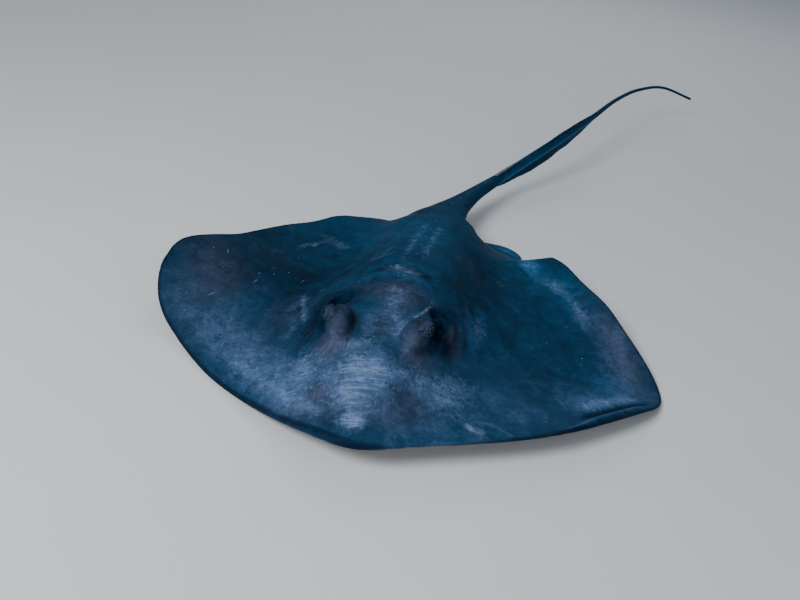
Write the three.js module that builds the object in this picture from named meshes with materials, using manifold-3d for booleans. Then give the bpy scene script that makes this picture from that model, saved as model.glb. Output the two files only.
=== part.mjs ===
// A southern stingray (Hypanus americanus), an adult female, as a still, life-size model.
// She rests on a level floor with the front of the disc raised, as when feeding, one wing tip down,
// the other curled up, and the tail carried clear of the floor and swept to her left.
//
// Millimetres. +Z is up, the snout points to -Y and the tail to +Y, and +X is the animal's left.
// The origin is on the floor, under the middle of the belly.
//
// The body is modelled whole and parted with thin cuts. The disc is a fan: each line of it runs from
// a root on the midline to a place on the margin. s says which line: 0 at the snout, 1 at the rear
// corner, more round the back, and negative on the animal's right. t says how far along the line:
// 0 at the root, 1 at the margin.
import * as THREE from "three";
import { mergeVertices } from "three/addons/utils/BufferGeometryUtils.js";
import Module from "manifold-3d";

const wasm = await Module();
wasm.setup();

// ---- Driving dimensions ----

const DISC_HALF_WIDTH = 482;
const SNOUT_Y = -388;
const DISC_REAR_Y = 388; // the rear corners of the pectoral fins
const MARGIN_THICKNESS = 5; // of the disc at its edge
const FIN_FALL = 1.4; // how the fin thins outwards: 1 is a straight wedge, more is fuller
const CUT = 0.4; // the width of the cuts between the pieces

const STATIONS = 33; // fan lines from the snout to the rear corner, on each side
const REAR_STATIONS = 4; // and round the back, to the midline
const FAN_STEPS = 10; // steps along each fan line, closer together towards the margin
const REAR_S = 1.15; // the s of the last fan line, on the midline at the back

const EYE = { x: 80, y: -180, z: 138.5, radius: 13 };
const HEAD_ROLL = 0.053; // the head's left side is carried higher: rise per mm sideways

const TAIL_SIDES = 12;
const TAIL_STEP = 36; // between the rings of the tail and of its fold and keel
const TAIL_BACK = 75; // how much of the tail is buried in the trunk, measured from its root

// ---- Curves ----

// The margin of one half of the disc, as cubic Bezier spans: the snout, the front, the wing tip, the
// rear edge and the rear corner. Then the back edge, which lies under the tail.
const MARGIN_SPANS = [
  [[0, SNOUT_Y], [24, SNOUT_Y], [44, -380], [66, -370]],
  [[66, -370], [150, -332], [256, -290], [362, -198]],
  [[362, -198], [432, -140], [DISC_HALF_WIDTH, -82], [DISC_HALF_WIDTH, -38]],
  [[DISC_HALF_WIDTH, -38], [DISC_HALF_WIDTH, 8], [452, 58], [412, 112]],
  [[412, 112], [350, 200], [290, 282], [215, 350]],
  [[215, 350], [185, 368], [150, DISC_REAR_Y], [116, DISC_REAR_Y]],
];
const REAR_SPANS = [
  [[116, DISC_REAR_Y], [98, 382], [90, 370], [72, 370]],
  [[72, 370], [45, 370], [20, 374], [0, 378]],
];

// Where each fan line starts on the midline: [s, y].
const FAN_ROOT = [
  [0, -230],
  [0.3, -140],
  [0.51, 0],
  [0.78, 160],
  [1, 290],
  [REAR_S, 330],
];

// How high the margin is carried above the floor: [s, height], from the right rear round to the left
// rear. The left wing tip touches the floor, the right one curls up, and the snout is raised.
const LIFT = [
  [-REAR_S, 12],
  [-1, 28],
  [-0.93, 37],
  [-0.89, 44],
  [-0.84, 42],
  [-0.78, 50],
  [-0.72, 56],
  [-0.68, 61],
  [-0.63, 77],
  [-0.58, 90],
  [-0.513, 84],
  [-0.43, 28],
  [-0.3, 1],
  [-0.15, 15],
  [0, 45],
  [0.15, 49],
  [0.3, 43],
  [0.43, 29],
  [0.513, 1],
  [0.58, 12],
  [0.64, 32],
  [0.7, 51],
  [0.78, 58],
  [0.84, 64],
  [0.865, 57],
  [0.885, 32],
  [0.905, 15],
  [0.94, 6],
  [1, 10],
  [REAR_S, 12],
];

// How far the curled right wing tip is drawn in towards the body: [s on that side, distance].
const RIGHT_TIP_IN = [
  [0.38, 0],
  [0.42, -3.4],
  [0.45, -2.5],
  [0.48, 4],
  [0.5, 9],
  [0.52, 11.5],
  [0.54, 7],
  [0.57, 0],
];

// The belly's own height above the floor on the midline: [y, height].
const BELLY_LIFT = [
  [SNOUT_Y, 45],
  [-230, 16],
  [-130, 0],
  [240, 0],
  [330, 8],
];
const BELLY_SHARE = 0.2; // the part of each fan line, from the midline, that follows the belly

// The sideways place of the midline: the head is carried a little to the animal's right.
const MIDLINE = [
  [SNOUT_Y, -14],
  [-300, -24],
  [-205, -31.5],
  [-100, -27],
  [30, -17],
  [240, -8],
  [330, 0],
];

// The fin's thickness at the root of each fan line: [s, thickness].
const FIN_ROOT = [
  [0, 44],
  [0.5, 49],
  [1, 42],
  [REAR_S, 36],
];

// The head and trunk stand up from the fins as a long mound: its height, half width and how
// steep its sides are (2 is a bell, more is squarer), each by y.
const MOUND_HEIGHT = [
  [-330, 8],
  [-270, 38],
  [-200, 66],
  [-100, 82],
  [0, 85],
  [120, 78],
  [230, 67],
  [320, 58],
  [400, 54],
];
const MOUND_WIDTH = [
  [-330, 90],
  [-200, 132],
  [-80, 152],
  [60, 146],
  [200, 124],
  [320, 112],
  [400, 98],
];
const MOUND_SIDES = [
  [-300, 2.4],
  [0, 2.4],
  [350, 3.2],
];

// The tail's centreline, from inside the trunk to the tip.
const TAIL_LINE = [
  [0, 330, 50],
  [3, 405, 57],
  [46, 540, 60],
  [105, 672, 67],
  [175, 785, 92],
  [247, 905, 118],
  [327, 1085, 130],
  [411, 1313, 133],
  [494, 1487, 128],
  [586, 1599, 117],
  [692, 1638, 84],
];
// The tail's width and height: [distance from its root, size].
const TAIL_WIDTH = [
  [-75, 130],
  [-52, 172],
  [-30, 162],
  [-12, 138],
  [12, 106],
  [50, 78],
  [130, 49],
  [250, 32],
  [520, 25],
  [700, 20],
  [820, 15],
  [1180, 11],
  [1440, 8.5],
];
const TAIL_HEIGHT = [
  [-75, 56],
  [-52, 73],
  [-30, 68],
  [-12, 60],
  [12, 50],
  [50, 43],
  [130, 35],
  [250, 28],
  [520, 22],
  [820, 14],
  [1180, 10],
  [1440, 8],
];
// The lengths that the tail is made in, by distance from its root.
const TAIL_LENGTHS = {
  tail_middle: [255, 560],
  tail_rear: [560, 860],
  tail_whip: [860, 1150],
  tail_tip: [1150, Infinity],
};
// The skin fold under the tail and the low keel on top of it: how far each stands out from the
// tail's side, by distance from the root.
const LOWER_FOLD = [
  [262, 1],
  [292, 12],
  [345, 21],
  [470, 32],
  [600, 28],
  [720, 15],
  [800, 4],
  [826, 1],
];
const UPPER_KEEL = [
  [405, 1],
  [460, 5],
  [560, 9],
  [690, 9],
  [770, 4],
  [812, 1],
];
const FOLD_THICKNESS = 2.4;

// One pelvic fin in plan: under the disc, out to its corner, and back along the free edge.
const PELVIC_SPANS = [
  [[36, 330], [80, 322], [130, 330], [168, 340]],
  [[168, 340], [188, 346], [200, 368], [194, 387]],
  [[194, 387], [186, 410], [160, 426], [134, 425]],
  [[134, 425], [104, 424], [60, 430], [40, 408]],
  [[40, 408], [26, 394], [28, 350], [36, 330]],
];
const PELVIC_MIDDLE = [104, 372];
const PELVIC_THICKNESS = { middle: 13, edge: 4 };

const STING = { root: 266, length: 118, width: 9, thickness: 3.2, barbs: 10 };
const THORN_HEIGHT = 4;

// ---- Small helpers ----

// A smooth curve through [x, value] points, with the slope at each point from its neighbours.
function profile(points, x) {
  const last = points.length - 1;
  if (x <= points[0][0]) return points[0][1];
  if (x >= points[last][0]) return points[last][1];
  const step = (i) => points[i + 1][0] - points[i][0];
  const rise = (i) => (points[i + 1][1] - points[i][1]) / step(i);
  const slope = (i) => {
    if (i === 0) return rise(0);
    if (i === last) return rise(last - 1);
    return (rise(i - 1) * step(i) + rise(i) * step(i - 1)) / (step(i - 1) + step(i));
  };
  let i = 0;
  while (x > points[i + 1][0]) i++;
  const h = step(i);
  const u = (x - points[i][0]) / h;
  return (
    (2 * u ** 3 - 3 * u ** 2 + 1) * points[i][1] +
    (u ** 3 - 2 * u ** 2 + u) * h * slope(i) +
    (3 * u ** 2 - 2 * u ** 3) * points[i + 1][1] +
    (u ** 3 - u ** 2) * h * slope(i + 1)
  );
}

function smoothstep(from, to, x) {
  const u = Math.min(1, Math.max(0, (x - from) / (to - from)));
  return u * u * (3 - 2 * u);
}

const lerp = (a, b, u) => a + (b - a) * u;

// A plan curve made of cubic Bezier spans.
function bezierPath(spans) {
  const path = new THREE.CurvePath();
  for (const span of spans) {
    path.add(new THREE.CubicBezierCurve(...span.map(([x, y]) => new THREE.Vector2(x, y))));
  }
  return path;
}

// A closed triangle mesh as a solid, turned so that it faces out.
function solidOf(geometry) {
  const bare = new THREE.BufferGeometry();
  bare.setAttribute("position", geometry.getAttribute("position"));
  bare.setIndex(geometry.index);
  const merged = mergeVertices(bare, 1e-3);
  const corners = merged.index.array;
  const kept = [];
  for (let i = 0; i < corners.length; i += 3) {
    const [a, b, c] = corners.slice(i, i + 3);
    if (a !== b && b !== c && c !== a) kept.push(a, b, c);
  }
  const build = (order) =>
    new wasm.Manifold(
      new wasm.Mesh({
        numProp: 3,
        vertProperties: new Float32Array(merged.attributes.position.array),
        triVerts: new Uint32Array(order),
      }),
    );
  const made = build(kept);
  return made.volume() > 0 ? made : build(kept.reverse());
}

function solidFrom(positions, triangles) {
  const raw = new THREE.BufferGeometry();
  raw.setAttribute("position", new THREE.Float32BufferAttribute(positions, 3));
  raw.setIndex(triangles);
  return solidOf(raw);
}

// A geometry placed by position, rotation in degrees and scale, as a solid.
function placed(geometry, { at = [0, 0, 0], turn = [0, 0, 0], scale = [1, 1, 1] }) {
  const object = new THREE.Object3D();
  object.position.set(...at);
  object.rotation.set(...turn.map((d) => THREE.MathUtils.degToRad(d)));
  object.scale.set(...scale);
  object.updateMatrix();
  return solidOf(geometry.clone().applyMatrix4(object.matrix));
}

function ellipsoid(at, radii, turn = [0, 0, 0], detail = 12) {
  return placed(new THREE.SphereGeometry(1, detail, detail / 2), { at, turn, scale: radii });
}

// A closed solid through rings of points, with a middle point at each end.
function loft(rings) {
  const positions = [];
  const triangles = [];
  const sides = rings[0].length;
  for (const ring of rings) {
    for (const p of ring) positions.push(p.x, p.y, p.z);
  }
  const at = (i, k) => i * sides + (k % sides);
  for (let i = 0; i + 1 < rings.length; i++) {
    for (let k = 0; k < sides; k++) {
      triangles.push(at(i, k), at(i + 1, k), at(i + 1, k + 1));
      triangles.push(at(i, k), at(i + 1, k + 1), at(i, k + 1));
    }
  }
  for (const [i, isEnd] of [[0, false], [rings.length - 1, true]]) {
    const middle = new THREE.Vector3();
    for (const p of rings[i]) middle.addScaledVector(p, 1 / sides);
    const hub = positions.push(middle.x, middle.y, middle.z) / 3 - 1;
    for (let k = 0; k < sides; k++) {
      triangles.push(hub, at(i, isEnd ? k + 1 : k), at(i, isEnd ? k : k + 1));
    }
  }
  return solidFrom(positions, triangles);
}

// A closed solid from a loop of fan lines, each given as (t, isTop) => [x, y, z].
function fanSolid(lines, places) {
  const positions = [];
  const triangles = [];
  const steps = places.length - 1;
  for (const line of lines) {
    for (const isTop of [true, false]) {
      for (const t of places) positions.push(...line(t, isTop));
    }
  }
  const at = (k, isTop, j) => ((k % lines.length) * 2 + (isTop ? 0 : 1)) * (steps + 1) + j;
  const quad = (a, b, c, d) => triangles.push(a, b, c, a, c, d);
  for (let k = 0; k < lines.length; k++) {
    for (let j = 0; j < steps; j++) {
      quad(at(k, true, j), at(k, true, j + 1), at(k + 1, true, j + 1), at(k + 1, true, j));
      quad(at(k, false, j), at(k + 1, false, j), at(k + 1, false, j + 1), at(k, false, j + 1));
    }
    quad(at(k, true, steps), at(k, false, steps), at(k + 1, false, steps), at(k + 1, true, steps));
  }
  return solidFrom(positions, triangles);
}

// ---- The disc ----

const margin = bezierPath(MARGIN_SPANS);
const backEdge = bezierPath(REAR_SPANS);

function marginPoint(s) {
  if (s <= 1) return margin.getPointAt(s);
  return backEdge.getPointAt((s - 1) / (REAR_S - 1));
}

// The height of the underside on fan line s.
function underside(s, t, y) {
  const outward = Math.max(0, (t - BELLY_SHARE) / (1 - BELLY_SHARE)) ** 1.7;
  const straight = smoothstep(0.3, 0.05, Math.abs(s)); // the head's underside is carried evenly
  const share = lerp(outward, t, straight);
  return Math.max(0, lerp(profile(BELLY_LIFT, y), profile(LIFT, s), share));
}

function mound(x, y) {
  const sides = profile(MOUND_SIDES, y);
  return profile(MOUND_HEIGHT, y) * Math.exp(-((Math.abs(x) / profile(MOUND_WIDTH, y)) ** sides));
}

function finThickness(s, t) {
  const full = profile(FIN_ROOT, Math.abs(s)) - MARGIN_THICKNESS;
  return MARGIN_THICKNESS + full * Math.max(0, 1 - t ** FIN_FALL);
}

// A point of the disc's top or underside. grow moves the surface outwards, for clearances.
function discPoint(s, part, isTop, grow = 0) {
  const t = part * (1 + grow / 400);
  const edge = marginPoint(Math.abs(s));
  const drawn = s < 0 ? profile(RIGHT_TIP_IN, -s) * t ** 4 : 0;
  const x = Math.sign(s) * (edge.x * t - drawn);
  const y = lerp(profile(FAN_ROOT, Math.abs(s)), edge.y, t);
  const bottom = underside(s, t, y);
  const backward = smoothstep(0.85, 1, Math.abs(s)); // the mound ends before the back edge
  const top = bottom + finThickness(s, t) + mound(x, y) * (1 - backward * Math.min(1, t) ** 5);
  const held = t * t * smoothstep(0, 0.25, Math.abs(s)); // the margin is not moved by the head
  return [x + profile(MIDLINE, y) * (1 - held), y, isTop ? top + grow : bottom - grow];
}

function makeDisc(grow = 0) {
  const stations = [];
  for (let i = 0; i <= STATIONS; i++) stations.push(i / STATIONS);
  for (let i = 1; i <= REAR_STATIONS; i++) stations.push(lerp(1, REAR_S, i / REAR_STATIONS));
  const otherSide = stations.slice(1, -1).reverse();
  const places = [];
  for (let j = 0; j <= FAN_STEPS; j++) places.push(1 - (1 - j / FAN_STEPS) ** 1.3);
  const line = (s) => (t, isTop) => discPoint(s, t, isTop, grow);
  return fanSolid([...stations.map(line), ...otherSide.map((s) => line(-s))], places);
}

// ---- The pelvic fins ----

function makePelvicFin(side) {
  const outline = bezierPath(PELVIC_SPANS);
  const count = 20;
  const lines = [];
  for (let i = 0; i < count; i++) {
    const edge = outline.getPointAt(i / count);
    lines.push((t, isTop) => {
      const x = lerp(PELVIC_MIDDLE[0], edge.x, t);
      const y = lerp(PELVIC_MIDDLE[1], edge.y, t);
      const floor = 3 + 9 * smoothstep(90, 40, x); // the fin rises a little to the trunk's side
      const deep = lerp(PELVIC_THICKNESS.middle, PELVIC_THICKNESS.edge, t * t);
      return [side * x, y, isTop ? floor + deep : floor];
    });
  }
  return fanSolid(lines, [0, 0.5, 0.8, 1]);
}

// ---- The tail ----

const tailCurve = new THREE.CatmullRomCurve3(
  TAIL_LINE.map((p) => new THREE.Vector3(...p)),
  false,
  "centripetal",
);
tailCurve.arcLengthDivisions = 800;
const TAIL_END = tailCurve.getLength() - TAIL_BACK;

// The centre and the directions of the tail at a distance from its root.
function tailFrame(distance) {
  const u = Math.min(1, Math.max(0, (distance + TAIL_BACK) / (TAIL_END + TAIL_BACK)));
  const centre = tailCurve.getPointAt(u);
  const forward = tailCurve.getTangentAt(u);
  const right = new THREE.Vector3().crossVectors(forward, new THREE.Vector3(0, 0, 1)).normalize();
  const up = new THREE.Vector3().crossVectors(right, forward);
  return { centre, forward, right, up };
}

// A point beside the tail's centre: a to the right, b upwards.
function besideTail({ centre, right, up }, a, b) {
  return centre.clone().addScaledVector(right, a).addScaledVector(up, b);
}

function tailRing(distance, grow = 0) {
  const frame = tailFrame(distance);
  const width = profile(TAIL_WIDTH, distance) / 2 + grow;
  const height = profile(TAIL_HEIGHT, distance) / 2 + grow;
  const ring = [];
  for (let k = 0; k < TAIL_SIDES; k++) {
    const a = (2 * Math.PI * k) / TAIL_SIDES;
    ring.push(besideTail(frame, width * Math.cos(a), height * Math.sin(a)));
  }
  return ring;
}

// A length of the tail. The very end of the tail is rounded off.
function tailLength(from, to, grow = 0) {
  const isTip = to >= TAIL_END;
  const straight = isTip ? to - 6 : to;
  const count = Math.round((straight - from) / TAIL_STEP);
  const rings = [];
  for (let i = 0; i <= count; i++) rings.push(tailRing(lerp(from, straight, i / count), grow));
  if (isTip) rings.push(tailRing(to - 2, -1.2), tailRing(to, -2.8));
  return loft(rings);
}

// A thin fin along the tail: below it (direction -1) or above it (direction 1).
function tailFin(heights, direction) {
  const from = heights[0][0];
  const to = heights[heights.length - 1][0];
  const count = Math.round((to - from) / TAIL_STEP);
  const rings = [];
  for (let i = 0; i <= count; i++) {
    const distance = lerp(from, to, i / count);
    const frame = tailFrame(distance);
    const inner = direction * profile(TAIL_HEIGHT, distance) * 0.3;
    const outer = direction * (profile(TAIL_HEIGHT, distance) * 0.5 + profile(heights, distance));
    rings.push([
      besideTail(frame, -FOLD_THICKNESS, inner),
      besideTail(frame, FOLD_THICKNESS, inner),
      besideTail(frame, FOLD_THICKNESS / 4, outer),
      besideTail(frame, -FOLD_THICKNESS / 4, outer),
    ]);
  }
  return loft(rings);
}

// The stinging spine: a flat blade lying along the top of the tail, with a row of small barbs on
// each side that point back to its root.
function makeSting() {
  const { length, width, thickness, barbs } = STING;
  const half = (u) => (width / 2) * (1 - u ** 2.2) + 0.5;
  const edge = [[0, half(0)]];
  for (let i = 0; i <= barbs; i++) {
    const u = 0.3 + (0.66 * i) / barbs;
    edge.push([length * u, half(u) + 0.9], [length * (u + 0.012), half(u) - 0.5]);
  }
  edge.push([length, 0.3]);
  const outline = [...edge, ...edge.map(([a, b]) => [a, -b]).reverse()];
  const shape = new THREE.Shape(outline.map(([a, b]) => new THREE.Vector2(a, b)));
  const blade = new THREE.ExtrudeGeometry(shape, { depth: thickness, bevelEnabled: false });
  const frame = tailFrame(STING.root);
  const end = tailFrame(STING.root + length);
  const raise = (at) => profile(TAIL_HEIGHT, at) / 2 + 0.6;
  const root = besideTail(frame, 0, raise(STING.root));
  const tip = besideTail(end, 0, raise(STING.root + length) + 2);
  const along = tip.clone().sub(root).normalize();
  const across = new THREE.Vector3().crossVectors(frame.up, along).normalize();
  const top = new THREE.Vector3().crossVectors(along, across);
  const place = new THREE.Matrix4().makeBasis(along, across, top).setPosition(root);
  return solidOf(blade.applyMatrix4(place));
}

// ---- The head's own features ----

// A place on the head: side 1 is the left, x is measured from the midline and the head's roll is
// added to z.
function headPlace(side, x, y, z) {
  return [side * x + profile(MIDLINE, y), y, z + side * x * HEAD_ROLL];
}

// A form of the head, placed from the eye: how far outwards, backwards and at what height.
function byEye(side, [out, back, z], radii, [tilt, yaw], detail = 12) {
  return ellipsoid(
    headPlace(side, EYE.x + out, EYE.y + back, z),
    radii,
    [0, side * tilt, side * yaw],
    detail,
  );
}

// The knob of skin that each eye looks out of, and the low rim round the spiracle behind it.
function eyeKnob(side) {
  return byEye(side, [-16, 6, 116], [25, 44, 33], [0, -12]).add(
    byEye(side, [11, 60, 86], [32, 66, 24], [0, -8]),
  );
}

// The spiracle: a deep opening that runs from behind the eye forwards along its outer side.
function spiracle(side) {
  return byEye(side, [12, 100, 118], [23, 20, 46], [0, 0], 10)
    .add(byEye(side, [17, 64, 118], [14, 40, 48], [14, -6], 10))
    .add(byEye(side, [21, 14, 122], [11, 32, 30], [10, 0], 10));
}

function eyeball(side, grow = 0) {
  const r = EYE.radius + grow;
  return ellipsoid(headPlace(side, EYE.x, EYE.y, EYE.z), [r, r, r], [0, 90, 0], 14);
}

// ---- Thorns ----

function thorn(x, y, z, height) {
  const cone = new THREE.ConeGeometry(height * 0.9, height * 2, 6).rotateX(Math.PI / 2);
  return placed(cone, { at: [x, y, z], turn: [-14, 0, 0] });
}

// A row of small blunt thorns along the middle of the back, and on down the tail to the sting.
function thorns() {
  const row = [];
  for (let y = -60; y <= 340; y += 50) {
    const z = profile(BELLY_LIFT, y) + profile(FIN_ROOT, 0.6) + profile(MOUND_HEIGHT, y);
    row.push(thorn(profile(MIDLINE, y), y, z - 4, THORN_HEIGHT));
  }
  for (let d = 40; d < 230; d += 45) {
    const top = besideTail(tailFrame(d), 0, profile(TAIL_HEIGHT, d) / 2 - 1);
    row.push(thorn(top.x, top.y, top.z, THORN_HEIGHT * 0.75));
  }
  return row;
}

// ---- Openings of the underside ----

const MOUTH = { y: -222, width: 82 };
const NOSTRIL = { x: 40, y: -258 };
const GILLS = { count: 5, frontY: -138, rearY: -18, frontX: 92, rearX: 66, long: 26 };
const CLOACA_Y = 352;

// A shallow curved slot in the underside, in plan: where, how long and wide, how far it bows towards
// the snout, its turn about Z in degrees, and how deep.
function slot({ x = 0, y, long, wide, bow = 0, turn = 0, deep = 4 }) {
  const shape = new THREE.Shape();
  shape.moveTo(-long / 2, 0);
  shape.quadraticCurveTo(0, -bow - wide / 2, long / 2, 0);
  shape.quadraticCurveTo(0, -bow + wide * 1.5, -long / 2, 0);
  const cutter = new THREE.ExtrudeGeometry(shape, {
    depth: profile(BELLY_LIFT, y) + deep + 5,
    bevelEnabled: false,
    curveSegments: 3,
  });
  return placed(cutter, { at: [x + profile(MIDLINE, y), y, -5], turn: [0, 0, turn] });
}

function undersideOpenings() {
  const cuts = [
    slot({ y: MOUTH.y, long: MOUTH.width, wide: 7, bow: -9, deep: 7 }),
    slot({ y: CLOACA_Y, long: 30, wide: 6, turn: 90, deep: 5 }),
  ];
  for (const side of [1, -1]) {
    const nostril = { x: side * NOSTRIL.x, y: NOSTRIL.y, long: 24, wide: 9, bow: 3 };
    cuts.push(slot({ ...nostril, turn: side * 35, deep: 5 }));
    for (let i = 0; i < GILLS.count; i++) {
      const u = i / (GILLS.count - 1);
      const x = side * lerp(GILLS.frontX, GILLS.rearX, u);
      const y = lerp(GILLS.frontY, GILLS.rearY, u);
      cuts.push(slot({ x, y, long: GILLS.long - 5 * u, wide: 4, bow: 4, turn: side * -18 }));
    }
  }
  return cuts;
}

// ---- Parting the body ----

// A thin upright wall along a plan curve, to cut with.
function wall(points) {
  const curve = new THREE.SplineCurve(points.map(([x, y]) => new THREE.Vector2(x, y)));
  const steps = points.length > 2 ? points.length * 3 : 1;
  const near = [];
  const far = [];
  for (let i = 0; i <= steps; i++) {
    const p = curve.getPoint(i / steps);
    const d = curve.getTangent(i / steps).normalize();
    const offset = new THREE.Vector2(-d.y, d.x).multiplyScalar(CUT / 2);
    near.push(p.clone().add(offset));
    far.push(p.clone().sub(offset));
  }
  const shape = new THREE.Shape([...near, ...far.reverse()]);
  const upright = new THREE.ExtrudeGeometry(shape, { depth: 400, bevelEnabled: false });
  return placed(upright, { at: [0, 0, -100] });
}

// The line where the pectoral fin meets the head and trunk, on the animal's left.
const FIN_LINE = [
  [70, -440],
  [92, -330],
  [132, -230],
  [156, -120],
  [158, 0],
  [142, 130],
  [112, 260],
  [84, 340],
  [70, 400],
];
const NECK_Y = -84; // behind the spiracles
const TAIL_CUT_Y = 402;

// The pieces that the cutters leave of a solid, largest first, without the crumbs of the cuts.
function parted(solid, cutters) {
  let rest = solid;
  for (const cutter of cutters) rest = rest.subtract(cutter);
  const pieces = rest.decompose().filter((piece) => piece.volume() > 500);
  return pieces.sort((a, b) => b.volume() - a.volume());
}

function middleOf(solid, axis) {
  const { min, max } = solid.boundingBox();
  return (min[axis] + max[axis]) / 2;
}

// ---- Materials ----

const skinTop = new THREE.MeshStandardMaterial({ color: 0x1d3a54, roughness: 0.62 });
const skinTail = new THREE.MeshStandardMaterial({ color: 0x0a2f4c, roughness: 0.6 });
const eyeDark = new THREE.MeshStandardMaterial({ color: 0x0b0c10, roughness: 0.12 });
const spineBone = new THREE.MeshStandardMaterial({ color: 0x5c7484, roughness: 0.5 });

// ---- Putting it together ----

const group = new THREE.Group();

function addMesh(name, solid, material) {
  const { numProp, vertProperties, triVerts } = solid.getMesh();
  const flat = [];
  for (const v of triVerts) {
    flat.push(...vertProperties.slice(v * numProp, v * numProp + 3));
  }
  const geometry = new THREE.BufferGeometry();
  geometry.setAttribute("position", new THREE.Float32BufferAttribute(flat, 3));
  geometry.computeVertexNormals();
  const mesh = new THREE.Mesh(geometry, material.clone());
  mesh.name = name;
  group.add(mesh);
}

function makeBody() {
  let body = makeDisc().add(tailLength(-TAIL_BACK, TAIL_LENGTHS.tail_middle[0] - CUT));
  const added = [...thorns(), eyeKnob(1), eyeKnob(-1)];
  const removed = [...undersideOpenings()];
  for (const side of [1, -1]) removed.push(spiracle(side), eyeball(side, CUT));
  for (const solid of added) body = body.add(solid);
  for (const solid of removed) body = body.subtract(solid);
  return body;
}

const finCuts = [1, -1].map((side) => wall(FIN_LINE.map(([x, y]) => [side * x, y])));
const crossCuts = [NECK_Y, TAIL_CUT_Y].map((y) => wall([[-200, y], [200, y]]));
const [core, ...fins] = parted(makeBody(), finCuts);
const [head, trunk, tailRoot] = parted(core, crossCuts).sort((a, b) => middleOf(a, 1) - middleOf(b, 1));
addMesh("head", head, skinTop);
addMesh("trunk", trunk, skinTop);
addMesh("tail_root", tailRoot, skinTail);
for (const fin of fins) {
  addMesh(middleOf(fin, 0) > 0 ? "pectoral_fin_left" : "pectoral_fin_right", fin, skinTop);
}

const clearance = makeDisc(CUT).add(tailLength(-TAIL_BACK, 200, CUT));
for (const [side, name] of [[1, "pelvic_fin_left"], [-1, "pelvic_fin_right"]]) {
  const [lobe] = parted(makePelvicFin(side), [clearance]);
  addMesh(name, lobe, skinTop);
}

const tailClearances = [];
for (const [name, [from, to]] of Object.entries(TAIL_LENGTHS)) {
  const end = Math.min(to - CUT, TAIL_END);
  addMesh(name, tailLength(from, end), skinTail);
  tailClearances.push(tailLength(from, end, CUT));
}
const [fold] = parted(tailFin(LOWER_FOLD, -1), tailClearances);
const [keel] = parted(tailFin(UPPER_KEEL, 1), tailClearances);
addMesh("tail_fold_lower", fold, skinTail);
addMesh("tail_keel_upper", keel, skinTail);

addMesh("sting", makeSting(), spineBone);
addMesh("eye_left", eyeball(1), eyeDark);
addMesh("eye_right", eyeball(-1), eyeDark);

export default group;
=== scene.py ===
"""A southern stingray as a life-size museum model: one skin over all the nodes of flesh, two eyes
and the sting. Shapes are worked out in millimetres and made into meshes in metres."""
import math

import bmesh
import bpy
import numpy as np
from mathutils import Matrix, Vector
from mathutils.bvhtree import BVHTree


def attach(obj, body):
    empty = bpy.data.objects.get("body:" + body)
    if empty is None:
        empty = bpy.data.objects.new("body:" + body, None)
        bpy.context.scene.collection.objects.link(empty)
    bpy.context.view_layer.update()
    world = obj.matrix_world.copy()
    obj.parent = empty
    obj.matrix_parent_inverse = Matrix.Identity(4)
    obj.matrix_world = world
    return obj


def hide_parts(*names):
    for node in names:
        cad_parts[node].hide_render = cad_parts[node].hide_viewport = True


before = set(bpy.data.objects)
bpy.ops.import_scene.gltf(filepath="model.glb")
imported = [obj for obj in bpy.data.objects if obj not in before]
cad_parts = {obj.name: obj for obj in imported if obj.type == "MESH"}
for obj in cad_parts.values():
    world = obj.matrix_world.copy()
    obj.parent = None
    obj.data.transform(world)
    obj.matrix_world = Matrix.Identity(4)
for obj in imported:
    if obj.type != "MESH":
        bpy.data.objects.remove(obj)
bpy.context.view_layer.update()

MM = 0.001

# ---- The body's own curves, the same as in the solids, in millimetres ----

SNOUT_Y = -388
MARGIN_THICKNESS = 5
MARGIN_ANGLES = (0.5, 0.95, 1.35)  # where the rounding of the margin has its points, in radians
FIN_FALL = 1.4  # the power by which the fins thin out towards the margin
BELLY_SHARE = 0.2  # the flat of the belly reaches this share of the way out
REAR_S = 1.15
EYE = (80, -180, 138.5)
EYE_RADIUS = 13
CORNEA = 0.8  # how far the cornea bulges
HEAD_ROLL = 0.053  # how much the head rises towards the animal's left
TAIL_BACK = 75  # how far the tail's line starts inside the trunk
TAIL_STEP = 3  # half the length of tail over which its direction is taken
TAIL_TIP = 5  # the length over which the tail's tip is rounded
TIP_RINGS = (5, 3.5, 2, 1, 0.4, 0.1)  # how far from the tip its last rings lie
STING_ROOT = 266
STING_LENGTH = 118

CHUNK = 4000  # points that are measured against a whole curve at one time

# Bezier spans in plan: the margin from the snout to the rear, the edge beside the tail.
MARGIN_SPANS = [
    [(0, -388), (24, -388), (44, -380), (66, -370)],
    [(66, -370), (150, -332), (256, -290), (362, -198)],
    [(362, -198), (432, -140), (482, -82), (482, -38)],
    [(482, -38), (482, 8), (452, 58), (412, 112)],
    [(412, 112), (350, 200), (290, 282), (215, 350)],
    [(215, 350), (185, 368), (150, 388), (116, 388)],
]
REAR_SPANS = [
    [(116, 388), (98, 382), (90, 370), (72, 370)],
    [(72, 370), (45, 370), (20, 374), (0, 378)],
]
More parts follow.
